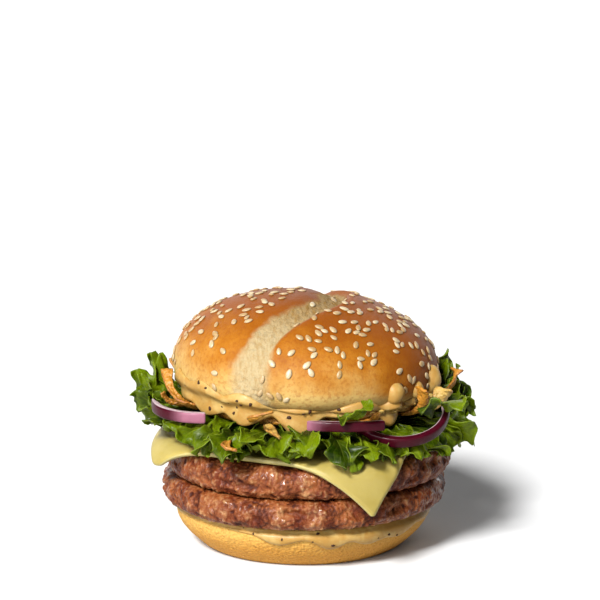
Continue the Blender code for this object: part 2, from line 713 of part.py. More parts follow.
def make_upper_sauce(name="sauce_upper", spare=0.0):
    count = 50
    sections = [upper_sauce_section(a, spare) for a in angles(count)]
    rings = [crown_place(Vector((0, 0, -UPPER_SAUCE_DEPTH - spare)))]
    rings += [[section[k] for section in sections] for k in range(len(sections[0]))]
    rings.append([crown_skin(a, -90) + UP * 0.6 * MM for a in angles(count)])
    rings.append(crown_place(Vector((0, 0, 0.6 * MM))))
    material = None if spare else food_material("upper_sauce", (0.72, 0.47, 0.21), 0.35)
    sauce = new_object(name, stacked_rings(rings), material)
    if not spare:
        clear_of(sauce, [crown_room(GAP)])
    return sauce


# Crispy fried onion
# Each flake in front: inner end, elbow and outer end (mm), width (mm)
FRONT_CRISPS = (
    ((-32, -19, 56.3), (-50.5, -31, 57.0), (-55.5, -10, 69.5), 5.0),
    ((-35, -12, 56), (-52, -19.5, 56.5), (-54, -19, 62), 5.0),
    ((-13, -35, 56.3), (-26, -55, 58.5), (-11, -54.5, 62.8), 3.0),
    ((-15, -33, 55), (-12.5, -50.5, 54.4), (-8.5, -55.6, 53.4), 3.6),
    ((18, -33, 55.2), (25, -49, 55.2), (27, -51.5, 61.5), 4.5),
    ((31, -20, 55.2), (49.5, -32, 55), (43.5, -36.5, 67.3), 6.0),
    ((35, -15, 54.9), (54, -26.5, 54.8), (52.5, -28, 65.5), 6.5),
    ((36, -4, 54.9), (59, -6, 55), (60, -5, 68.5), 6.0),
)
BACK_CRISP_COUNT = 5


def all_crisps():
    """The flakes that the front shows, then the back ones by the same rule with seeded sizes."""
    crisps = list(FRONT_CRISPS)
    draw = random.Random(23)
    for i in range(BACK_CRISP_COUNT):
        angle = 22 + 140 * (i + 0.5) / BACK_CRISP_COUNT
        ends = (polar(40, angle, 56.3), polar(54, angle + draw.uniform(-12, 12), 56.4))
        outer = polar(draw.uniform(55, 59), angle + draw.uniform(-14, 14), draw.uniform(61, 70))
        crisps.append((tuple(ends[0]), tuple(ends[1]), tuple(outer), draw.uniform(4.5, 7)))
    return crisps


def crisp_surface(inner, elbow, outer, width, spare=0.0):
    inner, elbow, outer = Vector(inner) * MM, Vector(elbow) * MM, Vector(outer) * MM
    outer += (outer - elbow).normalized() * spare

    def point_at(t, s):
        spine = inner * (1 - t) ** 2 + elbow * 2 * t * (1 - t) + outer * t * t
        along = ((elbow - inner) * (1 - t) + (outer - elbow) * t).normalized()
        level = Matrix.Rotation(math.radians(-90), 3, "Z") @ Vector((along.x, along.y, 0)).normalized()
        normal = level.cross(along)
        half = width / 2 * MM * (0.8 + 0.3 * math.sin(8 * t + width)) + spare
        return spine + level * s * half + normal * half * (0.3 * s * s + 0.25 * math.cos(6 * t + 2 * s))

    return point_at


def make_crisps(name="crispy_onions", spare=0.0):
    top = CROWN_RIM_Z - UPPER_SAUCE_DEPTH - 2 * GAP
    lean = math.tan(math.radians(CROWN_TILT))

    def core_ring(radius, share):
        ring = []
        for a in angles(20):
            p = polar(radius * (1 + 0.04 * wave(polar(1, a, 0), 0.35, 4)), a, 0)
            p.z = CRISP_Z + (top - lean * p.x - CRISP_Z) * share
            ring.append(p)
        return ring

    rings = [Vector((0, 0, CRISP_Z)), core_ring(CRISP_CORE_RADIUS - 3 * MM, 0)]
    rings += [core_ring(CRISP_CORE_RADIUS, 0.5), core_ring(CRISP_CORE_RADIUS - 2 * MM, 1)]
    rings.append(Vector((0, 0, top)))
    material = None if spare else food_material("fried_onion", (0.62, 0.30, 0.07), 0.6)
    heap = new_object(name, stacked_rings(rings), material)
    flakes = []
    for crisp in all_crisps():
        bm = bmesh.new()
        sheet_solid(bm, crisp_surface(*crisp, spare), 4, 1, CRISP_THICKNESS + 2 * spare)
        flakes.append(new_object("flake", bm, None))
    combine(heap, flakes, "UNION")
    return heap


def main():
    for obj in list(bpy.data.objects):
        bpy.data.objects.remove(obj)
    make_heel()
    make_lower_sauce()
    make_patty("patty_lower", LOWER_PATTY_CENTRE, LOWER_PATTY_THICKNESS, 1)
    make_patty("patty_upper", UPPER_PATTY_CENTRE, UPPER_PATTY_THICKNESS, 2)
    make_cheese()
    for onion in ONIONS:
        make_onion(*onion)
    make_crown()
    make_upper_sauce()

    def onion_room():
        return [make_onion("room", *onion[1:], spare=GAP) for onion in ONIONS]

    crisps = make_crisps()
    clear_of(crisps, onion_room() + [crown_room(2 * GAP), make_upper_sauce("room", 1.5 * GAP)])
    lettuce = make_lettuce()
    crisp_room = make_crisps("room", 1.2 * GAP)
    neighbours = [crown_room(2 * GAP), make_upper_sauce("room", 1.5 * GAP), crisp_room]
    neighbours.append(make_cheese("room", GAP))
    clear_of(lettuce, onion_room() + neighbours)
    make_sprigs()


main()
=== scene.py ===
"""Looks of a double cheeseburger: every layer again, in full detail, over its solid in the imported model.

Sizes are in metres with +Z up. The origin is the centre of the heel's foot and -Y is the front.
Angles round the burger run counter-clockwise from +X: the front is at -90 and the left at 180 degrees.
"""

import math
import random

import bmesh
import bpy
from bpy.props import FloatProperty, FloatVectorProperty, IntProperty, PointerProperty
from mathutils import Matrix, Vector, noise
from mathutils.bvhtree import BVHTree


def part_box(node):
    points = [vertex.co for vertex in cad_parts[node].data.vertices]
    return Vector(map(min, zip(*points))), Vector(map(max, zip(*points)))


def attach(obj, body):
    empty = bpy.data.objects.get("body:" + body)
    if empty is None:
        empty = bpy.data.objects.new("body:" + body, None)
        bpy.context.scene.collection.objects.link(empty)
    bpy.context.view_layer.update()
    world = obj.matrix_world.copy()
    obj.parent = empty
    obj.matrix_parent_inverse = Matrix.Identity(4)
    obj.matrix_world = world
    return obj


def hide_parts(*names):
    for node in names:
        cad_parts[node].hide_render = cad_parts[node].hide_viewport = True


bl_info = {
    "name": "Double Cheeseburger",
    "version": (1, 0, 0),
    "blender": (4, 5, 0),
    "location": "3D View > Sidebar > Burger",
    "description": "Builds a double cheeseburger with a sesame crown, layer by layer",
    "category": "Add Mesh",
}

MM = 0.001
CENTIMETRES_SQUARED = 10000  # in a square metre
UP = Vector((0, 0, 1))
TURN = 6.28  # a full turn in radians, near enough for a random draw
KEY_SHARE = 0.38  # a food's own colour as a share of what it shows in the key light

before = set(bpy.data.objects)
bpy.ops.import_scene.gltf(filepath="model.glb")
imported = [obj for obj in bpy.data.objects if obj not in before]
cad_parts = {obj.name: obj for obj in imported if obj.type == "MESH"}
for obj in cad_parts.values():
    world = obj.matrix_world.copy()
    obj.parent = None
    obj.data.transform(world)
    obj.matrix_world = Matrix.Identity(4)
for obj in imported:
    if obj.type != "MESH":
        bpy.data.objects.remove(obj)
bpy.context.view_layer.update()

# Seeds of the random draws
DRAWS = {"back leaves": 11, "shreds": 401, "leaf shades": 77, "back crisps": 23, "crisps": 31, "seeds": 5}
NOISE_SEED = 5
# Seeds of single patterns, the first where there are several
FIRST_LEAF_SEED = 100
FIRST_SHRED_SEED = 600
SEED_SHADE_SEED = 3
FLECK_SPOT_SEED, FLECK_SPIN_SEED, FLECK_SIZE_SEED = 12, 5, 7
noise.seed_set(NOISE_SEED)  # otherwise the clock sets the offsets of noise_vector

# Points round each round piece and rows up it, and faces along and across each sheet
HEEL_COLUMNS, HEEL_ROWS = 360, 40
PATTY_COLUMNS, PATTY_ROWS = 840, 50
LETTUCE_CORE_COLUMNS, LETTUCE_CORE_ROWS = 160, 14
CRISP_CORE_COLUMNS, CRISP_CORE_ROWS = 180, 10
BLOB_COLUMNS, BLOB_ROWS = 36, 16
ONION_SIDES, ONION_STEPS = 28, 120
CROWN_RIM_ROWS, CROWN_DOME_ROWS = 12, 100
LOWER_SAUCE_ROWS = 14
LOWER_SAUCE_OUTSIDE = range(2, 14)  # points of the section that show
UPPER_SAUCE_COLUMNS, UPPER_SAUCE_STEPS = 400, 6
UPPER_SAUCE_INSIDE = (9, 7)  # points at either end of the section that don't show
SEED_SIDES = 10
CHEESE_GRID = (110, 110)
LEAF_GRID = (44, 20)
SHRED_GRID = (26, 12)
SPRIG_GRID = (40, 20)
CRISP_GRID = (50, 14)
# Numbers kept at the points of a piece, for its material
SHEET_MARKS = ("along", "across", "shade")
ONION_MARKS = ("along", "skin", "fade")

# Shape of the stack, as in the solids
GAP = 0.35 * MM
HEEL_FOOT_RADIUS = 39.0 * MM
HEEL_RADIUS = 49.6 * MM
HEEL_HEIGHT = 15.6 * MM
HEEL_WIDEST = 13.8 * MM
LOWER_SAUCE_TOP = HEEL_HEIGHT + GAP + 1.0 * MM
LOWER_SAUCE_THICKNESS = 1.7 * MM
PATTY_RADIUS = 56.3 * MM
PATTY_EDGE = 5.6 * MM
PATTY_DENT = 2.4 * MM
LOWER_PATTY_THICKNESS = 11.3 * MM
UPPER_PATTY_THICKNESS = 12.2 * MM
LOWER_PATTY_CENTRE = Vector((0, 0, LOWER_SAUCE_TOP + GAP))
UPPER_PATTY_CENTRE = Vector((1.8 * MM, 0, LOWER_PATTY_CENTRE.z + LOWER_PATTY_THICKNESS + GAP))
# Corners of the slice laid flat, in mm
CHEESE_CORNERS = {"left": (-59.8, -27), "front": (29.5, -69.4), "right": (56, 24), "back": (-50, 52)}
CHEESE_LEFT_REACH = 2.6 * MM
CHEESE_SOFT_CORNER = 0.13
CHEESE_CORNER = 0.04
CHEESE_SHOULDER = 7.0 * MM
CHEESE_Z = UPPER_PATTY_CENTRE.z + UPPER_PATTY_THICKNESS + GAP + 0.25 * MM
LETTUCE_Z = CHEESE_Z + 2.3 * MM + GAP
LETTUCE_CORE_RADIUS = 41.0 * MM
LETTUCE_CORE_TOP = 54.0 * MM
LEAF_ROOT_RADIUS = 37 * MM
LEAF_ELBOW = 0.8
LEAF_TEETH = 2
LEAF_RUFFLE = 0.13
CRISP_Z = LETTUCE_CORE_TOP + GAP
CRISP_CORE_RADIUS = 43.0 * MM
UPPER_SAUCE_DEPTH = 2.6 * MM
CROWN_RIM_Z = 61.3 * MM
CROWN_RADIUS = 51.5 * MM
CROWN_WIDEST = 7.7 * MM
CROWN_DOME = 29.2 * MM
CROWN_RIM_ROUND = 7.0 * MM
CROWN_POWER = 2.15
CROWN_TILT = 2.2
SPLIT_DEPTH = 3.6 * MM
SPLIT_LEFT_WIDTH = 16.0 * MM
SPLIT_RIGHT_WIDTH = 2.4 * MM
SPLIT_LIP = 0.7 * MM
SPLIT_RIGHTMOST = 15.0 * MM
SPLIT_SLANT = 29.5 * MM  # X less Y all along the slanting front part of the fold
SPLIT_TURN = 6.0 * MM  # how gently the fold turns at the top


# Small helpers
def tint(red, green, blue):
    """A linear colour from screen values of 0 to 255, by the screen's own curve."""
    shares = [value / 255 for value in (red, green, blue)]
    return tuple(c / 12.92 if c <= 0.04045 else ((c + 0.055) / 1.055) ** 2.4 for c in shares)


def food(red, green, blue):
    """A food's own colour, from the screen values that it shows in the key light, which may pass 255."""
    return tuple(KEY_SHARE * c for c in tint(red, green, blue))


def smooth(x):
    """0 to 1 with level ends, as x goes from 0 to 1."""
    x = min(1.0, max(0.0, x))
    return x * x * (3 - 2 * x)


def bump(angle, centre, half_width):
    """1 at the centre angle, falling smoothly to 0 at half_width degrees from it."""
    away = abs((angle - centre + 180) % 360 - 180)
    return smooth(1 - away / half_width)


def polar(radius, angle, z):
    """A point from its distance and its angle in degrees round the burger's middle."""
    a = math.radians(angle)
    return Vector((radius * math.cos(a), radius * math.sin(a), z))


def plan_angle(point):
    return math.degrees(math.atan2(point.y, point.x))


def wave(point, size, seed=0.0):
    """Smooth noise between about -1 and 1, with features of the given size. Each seed is another pattern."""
    return noise.noise(point / size + Vector((seed, -seed, 1.7 * seed)))


def grit(point, size, seed=0.0):
    """Rounded lumps of the given size: 0 in the cracks between them and up to about 1 on top."""
    near, second = noise.voronoi(point / size + Vector((seed, seed, -seed)))[0][:2]
    return min(1.0, 1.6 * (second - near))


def angles(count):
    """Even steps of degrees round a full turn."""
    return [i * 360 / count for i in range(count)]


def spread(low, high, steps):
    """Even steps from low to high, both included."""
    return [low + (high - low) * i / steps for i in range(steps + 1)]


# Making meshes
class Heap:
    """Gathers closed shapes, with a number or two at each of their points, into one mesh."""

    def __init__(self, *marks):
        self.points, self.faces = [], []
        self.marks = {mark: [] for mark in marks}

    def add(self, points, faces, **marks):
        start = len(self.points)
        self.points.extend(points)
        self.faces.extend(tuple(start + i for i in face) for face in faces)
        for mark, values in self.marks.items():
            given = marks.get(mark, 0.0)
            values.extend(given if isinstance(given, list) else [given] * len(points))

    def add_rings(self, rings, **marks):
        """A skin through rings of equal count, whose first and last items may be single points."""
        points, faces, rows = [], [], []
        for ring in rings:
            ring = [ring] if isinstance(ring, Vector) else ring
            rows.append(range(len(points), len(points) + len(ring)))
            points.extend(ring)
        for lower, upper in zip(rows, rows[1:]):
            count = max(len(lower), len(upper))
            for i in range(count):
                j = (i + 1) % count
                if len(lower) == 1:
                    faces.append((lower[0], upper[j], upper[i]))
                elif len(upper) == 1:
                    faces.append((lower[i], lower[j], upper[0]))
                else:
                    faces.append((lower[i], lower[j], upper[j], upper[i]))
        self.add(points, faces, **marks)

    def add_sheet(self, point_at, rows, lanes, thickness_at, **marks):
        """A thin closed sheet about point_at(t, s), t from 0 to 1 along it and s from -1 to 1 across it."""
        steps, sides = spread(0, 1, rows), spread(-1, 1, lanes)
        middle = [[point_at(t, s) for s in sides] for t in steps]
        upper, lower, along, across = [], [], [], []
        for i, t in enumerate(steps):
            for j, s in enumerate(sides):
                onward = middle[min(i + 1, rows)][j] - middle[max(i - 1, 0)][j]
                sideways = middle[i][min(j + 1, lanes)] - middle[i][max(j - 1, 0)]
                offset = onward.cross(sideways).normalized() * thickness_at(t, s) / 2
                upper.append(middle[i][j] + offset)
                lower.append(middle[i][j] - offset)
                along.append(t)
                across.append(s)
        width, count = lanes + 1, len(upper)
        faces = []
        for i in range(rows):
            for j in range(lanes):
                a, b = i * width + j, (i + 1) * width + j
                faces.append((a, b, b + 1, a + 1))
                faces.append((count + a, count + a + 1, count + b + 1, count + b))
        rim = [i * width for i in range(rows + 1)] + [rows * width + j for j in range(1, lanes + 1)]
        rim += [i * width + lanes for i in range(rows - 1, -1, -1)] + list(range(lanes - 1, 0, -1))
        for this, following in zip(rim, rim[1:] + rim[:1]):
            faces.append((this, count + this, count + following, following))
        self.add(upper + lower, faces, along=along * 2, across=across * 2, **marks)

    def build(self, name):
        """One object at the origin, smooth, with its faces turned outwards."""
        mesh = bpy.data.meshes.new(name)
        mesh.from_pydata(self.points, [], self.faces)
        for mark, values in self.marks.items():
            mesh.attributes.new(mark, "FLOAT", "POINT").data.foreach_set("value", values)
        bm = bmesh.new()
        bm.from_mesh(mesh)
        bmesh.ops.recalc_face_normals(bm, faces=bm.faces)
        bm.to_mesh(mesh)
        bm.free()
        mesh.shade_smooth()
        obj = bpy.data.objects.new(name, mesh)
        bpy.context.scene.collection.objects.link(obj)
        return obj


def serve(obj, material, slot, *nodes):
    """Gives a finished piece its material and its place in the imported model."""
    obj.data.materials.clear()
    obj.data.materials.append(material)
    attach(obj, "root")
    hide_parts(*nodes)
    return obj


# Node trees
# The Mix node's colour sockets share their names with its other kinds, so they go by place
MIX_COLOUR_INPUTS = (0, 6, 7)
MIX_COLOUR_OUTPUT = 2
# So do the plain numbers of the Random Value node
RANDOM_LOWEST, RANDOM_HIGHEST, RANDOM_OUTPUT = 2, 3, 1
GLOW_SOCKETS = ("Subsurface Weight", "Subsurface Radius", "Subsurface Scale")
GLOSS_SOCKETS = {"specular": "Specular IOR Level", "coat_roughness": "Coat Roughness", "coat_ior": "Coat IOR"}


class Signal:
    """An output socket that takes part in Python expressions, each of which adds a Math node."""

    def __init__(self, tree, socket):
        self.tree, self.socket = tree, socket

    def math(self, operation, *others):
        return self.tree.node("ShaderNodeMath", {"operation": operation}, [self, *others])

    def __add__(self, other):
        return self.math("ADD", other)

    def __sub__(self, other):
        return self.math("SUBTRACT", other)

    def __mul__(self, other):
        return self.math("MULTIPLY", other)

    def __rsub__(self, other):
        return self.tree.node("ShaderNodeMath", {"operation": "SUBTRACT"}, [other, self])

    def __abs__(self):
        return self.math("ABSOLUTE")

    __radd__ = __add__

    def fade(self, low, high):
        """0 below low and 1 above high, with a smooth change between them."""
        values = {"Value": self, "From Min": low, "From Max": high}
        return self.tree.node("ShaderNodeMapRange", {"interpolation_type": "SMOOTHSTEP"}, values)


class Tree:
    """Adds nodes to a node tree."""

    def __init__(self, tree):
        self.tree = tree

    def node(self, kind, settings=None, values=None, output=0):
        """Makes a node: its settings first, then the values or links of its sockets, by place or by name."""
        made = self.tree.nodes.new(kind)
        for name, value in (settings or {}).items():
            setattr(made, name, value)
        pairs = values.items() if isinstance(values, dict) else enumerate(values or [])
        for key, value in pairs:
            if isinstance(value, Signal):
                self.tree.links.new(value.socket, made.inputs[key])
            else:
                made.inputs[key].default_value = value
        return Signal(self, made.outputs[output])


class Scatter(Tree):
    """A Geometry Nodes tree that sets copies of an object on spots. given holds its inputs by name."""

    def __init__(self, name, result, **inputs):
        super().__init__(bpy.data.node_groups.new(name, "GeometryNodeTree"))
        sockets = self.tree.interface
        for label, kind in inputs.items():
            sockets.new_socket(label, in_out="INPUT", socket_type=f"NodeSocket{kind}")
        sockets.new_socket(result, in_out="OUTPUT", socket_type="NodeSocketGeometry")
        group_input = self.tree.nodes.new("NodeGroupInput")
        self.given = {label: Signal(self, group_input.outputs[label]) for label in inputs}

    def kept(self, name, kind="FLOAT"):
        """What is kept at each point of the mesh under this name."""
        return self.node("GeometryNodeInputNamedAttribute", {"data_type": kind}, {"Name": name})

    def random(self, low, high, seed):
        """A number between low and high for each spot."""
        values = {RANDOM_LOWEST: low, RANDOM_HIGHEST: high, "Seed": seed}
        return self.node("FunctionNodeRandomValue", {"data_type": "FLOAT"}, values, RANDOM_OUTPUT)

    def copies(self, spots, thing, upright, spin, size):
        """A copy of the object on each spot, stood upright, spun in its own frame and sized."""
        shape = self.node("GeometryNodeObjectInfo", None, {"Object": thing}, "Geometry")
        spun = self.node("FunctionNodeAxisAngleToRotation", None, {"Angle": spin})
        turned = self.node("FunctionNodeRotateRotation", {"rotation_space": "LOCAL"}, [upright, spun])
        values = {"Points": spots, "Instance": shape, "Rotation": turned, "Scale": size}
        return self.node("GeometryNodeInstanceOnPoints", None, values)

    def finished(self, copies):
        """The whole tree, which ends in the copies made real, with the given material."""
        real = self.node("GeometryNodeRealizeInstances", None, {"Geometry": copies})
        values = {"Geometry": real, "Material": self.given["Material"]}
        clad = self.node("GeometryNodeSetMaterial", None, values)
        self.tree.links.new(clad.socket, self.tree.nodes.new("NodeGroupOutput").inputs[0])
        return self.tree


class Finish(Tree):
    """A food's material, with its pattern in Object coordinates."""

    def __init__(self, name):
        self.material = bpy.data.materials.new(name)
        self.material.use_nodes = True
        super().__init__(self.material.node_tree)
        self.shader = self.tree.nodes["Principled BSDF"]
        self.place = self.node("ShaderNodeTexCoord", output="Object")

    def stretched(self, stretch):
        """The place, with the pattern drawn out by these factors along X, Y and Z."""
        values = {"Vector": self.place, "Scale": tuple(1 / s for s in stretch)}
        return self.node("ShaderNodeMapping", {"vector_type": "POINT"}, values)

    def cloud(self, size, detail=3.0, roughness=0.55, distortion=0.0, place=None):
        """Noise from 0 to 1, with features of about this size."""
        values = {
            "Vector": place or self.place, "Scale": 1 / size, "Detail": detail, "Roughness": roughness,
            "Distortion": distortion,
        }
        return self.node("ShaderNodeTexNoise", None, values)

    def cells(self, size):
        """Distance to the nearest of a set of scattered points, in shares of the size."""
        return self.node("ShaderNodeTexVoronoi", None, {"Vector": self.place, "Scale": 1 / size})

    def mark(self, name):
        """A number kept at the mesh's points."""
        return self.node("ShaderNodeAttribute", {"attribute_name": name}, output="Fac")

    def mix(self, share, first, second):
        """The first colour where share is 0, and the second where it is 1."""
        first = first if isinstance(first, Signal) else (*first, 1)
        second = second if isinstance(second, Signal) else (*second, 1)
        sockets = dict(zip(MIX_COLOUR_INPUTS, (share, first, second)))
        return self.node("ShaderNodeMix", {"data_type": "RGBA"}, sockets, MIX_COLOUR_OUTPUT)

    def relief(self, height, depth, under=None):
        """A normal bent by the height, whose full range stands this far out."""
        values = {"Height": height, "Distance": depth}
        if under is not None:
            values["Normal"] = under
        return self.node("ShaderNodeBump", None, values)

    def wear(self, colour, roughness, normal=None, coat=None, glow=(), **gloss):
        """Links what changes over the surface to the shader, and sets its other sockets.

        glow is how much light passes under the surface, how far red, green and blue spread, and their reach.
        """
        varied = {"Base Color": colour, "Roughness": roughness, "Normal": normal, "Coat Weight": coat}
        for name, signal in varied.items():
            if signal is not None:
                self.tree.links.new(signal.socket, self.shader.inputs[name])
        fixed = dict(zip(GLOW_SOCKETS, glow)) | {GLOSS_SOCKETS[key]: value for key, value in gloss.items()}
        for name, value in fixed.items():
            self.shader.inputs[name].default_value = value
        return self.material


def socket_id(group, name):
    """The identifier of a group's named input."""
    for item in group.interface.items_tree:
        if item.item_type == "SOCKET" and item.in_out == "INPUT" and item.name == name:
            return item.identifier
    raise KeyError(name)


def grown_by(group, base, inputs, name):
    """Runs the node group on the base object and returns the result as a plain mesh object at the origin."""
    modifier = base.modifiers.new(group.name, "NODES")
    modifier.node_group = group
    for key, value in inputs.items():
        modifier[socket_id(group, key)] = value
    base.update_tag()
    bpy.context.view_layer.update()
    evaluated = base.evaluated_get(bpy.context.evaluated_depsgraph_get())
    mesh = bpy.data.meshes.new_from_object(evaluated)
    base.modifiers.remove(modifier)
    made = bpy.data.objects.new(name, mesh)
    mesh.name = name
    bpy.context.scene.collection.objects.link(made)
    return made


# Heel and the sauce on it
def heel_radius(angle, z):
    """Radius of the heel's skin at this height, with the slight unevenness of a baked bun."""
    swell = math.sin(math.pi / 2 * min(1.0, z / HEEL_WIDEST))
    over = max(0.0, (z - HEEL_WIDEST) / (HEEL_HEIGHT - HEEL_WIDEST))
    radius = HEEL_FOOT_RADIUS + (HEEL_RADIUS - HEEL_FOOT_RADIUS) * swell - 1.0 * MM * over**2
    return radius + 0.7 * MM * wave(polar(HEEL_RADIUS, angle, 0), 40 * MM, 3)


# (centre angle, half width in degrees, drop below the heel's top edge) of each run of sauce over the heel
LOWER_RUNS = (
    (-65, 80, 3.4 * MM), (-101, 12, 2.9 * MM), (-78, 11, 3.6 * MM), (-60, 12, 2.8 * MM), (-44, 13, 2.8 * MM),
    (-22, 14, 1.2 * MM), (10, 30, 2.2 * MM), (48, 18, 3.8 * MM), (80, 26, 2.2 * MM), (112, 17, 4.4 * MM),
    (150, 30, 2.2 * MM), (-160, 26, 0.8 * MM),
)


def lower_sauce_drop(angle):
    return 0.6 * MM + sum(depth * bump(angle, centre, half) for centre, half, depth in LOWER_RUNS)


def lower_sauce_section(angle):
    """Points of the section, from the top inside round the outer lip to the underside inside."""
    drop = lower_sauce_drop(angle)
    floor = HEEL_HEIGHT + GAP
    low = floor - drop
    fat = LOWER_SAUCE_THICKNESS * (0.55 + 0.45 * smooth(drop / (4 * MM)))
    fat += 0.25 * MM * wave(polar(HEEL_RADIUS, angle, 0), 9 * MM, 21)
    edge = heel_radius(angle, HEEL_HEIGHT)
    section = [(edge - 3 * MM, LOWER_SAUCE_TOP)]
    for share in spread(0, 1, LOWER_SAUCE_ROWS):
        z = LOWER_SAUCE_TOP - 0.1 * MM - share * (LOWER_SAUCE_TOP - 0.1 * MM - low)
        body = math.sqrt(max(0.0, 1 - (2 * share - 1) ** 4)) * (0.72 + 0.28 * smooth(1.6 * share))
        section.append((heel_radius(angle, min(z, HEEL_HEIGHT)) + fat * body, z))
    section.append((heel_radius(angle, low) - 0.3 * MM, low + 0.2 * MM))
    section.append((edge - 0.4 * MM, floor - 0.4 * MM))
    return section


# Patties
def patty_point(centre, thickness, angle, edge, seed):
    """Point on a patty's rounded edge: edge runs from -90 at the underside to 90 at the top."""
    e = math.radians(edge)
    rim = polar(PATTY_RADIUS, angle, thickness * math.sin(e))
    uneven = 1.1 * MM * (wave(rim, 34 * MM, seed) - 0.5)
    crag = -PATTY_DENT * max(0.0, wave(rim, 8 * MM, seed + 5)) * math.cos(e)
    radius = PATTY_RADIUS - PATTY_EDGE + PATTY_EDGE * math.cos(e) ** 0.7 + uneven + crag
    height = thickness / 2 * (1 + math.sin(e))
    return centre + polar(radius, angle, height)


def meat_relief(point, seed):
    """How far the ground meat stands out of the patty's plain edge: lumps, worms of meat and fine grains."""
    drawn = Vector((point.x, point.y, 0.62 * point.z))
    bent = drawn + 1.6 * MM * noise.noise_vector(drawn / (6 * MM))
    lumps = grit(bent, 4.2 * MM, seed)
    grains = grit(bent, 1.9 * MM, seed + 3)
    fine = wave(point, 0.8 * MM, seed + 7)
    pit = smooth((wave(point, 3.6 * MM, seed + 11) - 0.42) / 0.3)
    folds = wave(Vector((point.x, point.y, 0.15 * point.z)), 6.5 * MM, seed + 17)
    relief = 0.42 * (lumps - 0.6) + 0.5 * (grains - 0.5) + 0.16 * fine - 0.5 * pit + 0.55 * folds
    return relief * MM


# Cheese
def flat_slice(u, v):
    """Point of the flat slice for u, left to right, and v, front to back, both from -1 to 1."""
    radius = CHEESE_SOFT_CORNER if u < 0 and v < 0 else CHEESE_CORNER
    core = 1 - radius
    past = Vector((max(0.0, abs(u) - core), max(0.0, abs(v) - core)))
    if past.length > 0:
        past *= max(past) / past.length
    right = 0.5 + 0.5 * math.copysign(min(abs(u), core) + past.x, u)
    back = 0.5 + 0.5 * math.copysign(min(abs(v), core) + past.y, v)
    corners = {name: Vector((*place, 0)) * MM for name, place in CHEESE_CORNERS.items()}
    front_side = corners["left"].lerp(corners["front"], right)
    back_side = corners["back"].lerp(corners["right"], right)
    return front_side.lerp(back_side, back)


def toward_edges(x):
    """Spreads even steps from -1 to 1 so that they fall closer together near the ends."""
    return 1.25 * x - 0.25 * x**3


def cheese_droop(angle):
    """Degrees below level at which the slice hangs past the patty's rim."""
    return 60 + 14 * bump(angle, -63, 45) + 18 * bump(angle, -165, 55) + 25 * bump(angle, 23, 60)


def cheese_point(u, v, lift):
    """Point of the slice's underside plus lift along its normal, for u and v as in flat_slice."""
    middle = Vector((UPPER_PATTY_CENTRE.x, UPPER_PATTY_CENTRE.y, 0))
    flat = flat_slice(u, v) - middle
    angle = plan_angle(flat)
    start = PATTY_RADIUS - PATTY_EDGE + 1.5 * MM + CHEESE_LEFT_REACH * bump(angle, -168, 50)
    past = max(0.0, flat.length - start)
    turned = min(past / CHEESE_SHOULDER, math.radians(cheese_droop(angle)))
    hang = past - turned * CHEESE_SHOULDER
    bend = CHEESE_SHOULDER + lift
    radius = min(flat.length, start) + bend * math.sin(turned) + hang * math.cos(turned)
    height = CHEESE_Z + lift - bend * (1 - math.cos(turned)) - hang * math.sin(turned)
    return polar(radius, angle, height) + middle


# Leaves
def bowed(root, middle, tip, t):
    """The point at t on a bow from root to tip, the way along it, and the level way across it."""
    spine = root * (1 - t) ** 2 + middle * 2 * t * (1 - t) + tip * t * t
    along = ((middle - root) * (1 - t) + (tip - middle) * t).normalized()
    level = Matrix.Rotation(math.radians(-90), 3, "Z") @ Vector((along.x, along.y, 0)).normalized()
    return spine, along, level


# Each leaf: root angle, root height, tip angle, tip radius, tip height, width, arch and roll; sizes in mm
FRONT_LEAVES = (
    (173, 53, 175, 60, 73, 14, -1, 60), (180, 51, 179, 65.5, 67, 13, -1, 55),
    (186, 50, 184, 65.5, 60, 16, 3, 65), (193, 50, 190, 64.5, 54, 13, 4, 50),
    (201, 50, 197, 64, 50.5, 13, 4, 30), (213, 51, 214, 62.5, 53.5, 12, 4, 10),
    (226, 51, 225, 63.5, 49, 14, 5, -15), (236, 51, 232, 64, 45.5, 12, 5, 4),
    (243, 51, 243, 65, 44.5, 14, 5, -12), (251, 52, 249.5, 64.5, 51.5, 15, 3, 18),
    (261, 51, 258, 62.5, 48, 15, 4, -8), (272, 51, 270.5, 61.5, 48, 15, 4, 14),
    (282, 50, 284, 63.5, 43, 15, 6, -14), (293, 50, 294, 63.5, 45.5, 13, 5, 12),
    (302, 50, 301, 64, 43.5, 11, 5, -10), (313, 49, 312, 65, 43.5, 13, 5, 16),
    (325, 48, 325.5, 66, 42, 15, 5, -20), (340, 49, 347.5, 67, 40.5, 16, 4, -50),
    (351, 50, 358, 67, 52, 17, 3, -60), (1, 51, 1, 64.5, 61, 16, 1, -65), (7, 52, 7, 62, 67.5, 13, -1, -55),
    (14, 53, 11, 58.5, 73, 14, -1, -60),
)
BACK_LEAF_COUNT = 9


def all_leaves():
    """The leaves that the front shows, then the back ones by the same rule with seeded sizes."""
    leaves = list(FRONT_LEAVES)
    draw = random.Random(DRAWS["back leaves"])
    for i in range(BACK_LEAF_COUNT):
        root = 26 + 140 * (i + 0.5) / BACK_LEAF_COUNT
        rising = i % 3 == 1
        leaves.append((
            root, draw.uniform(49, 52), root + draw.uniform(-5, 5), draw.uniform(61, 66),
            draw.uniform(60, 70) if rising else draw.uniform(43, 52), draw.uniform(13, 17),
            -1 if rising else 4, draw.uniform(-25, 25),
        ))
    return leaves


def cusp(x):
    """A row of sharp points with hollows between them: 0 at whole numbers and 1 halfway between."""
    return 1 - abs(math.cos(math.pi * x))


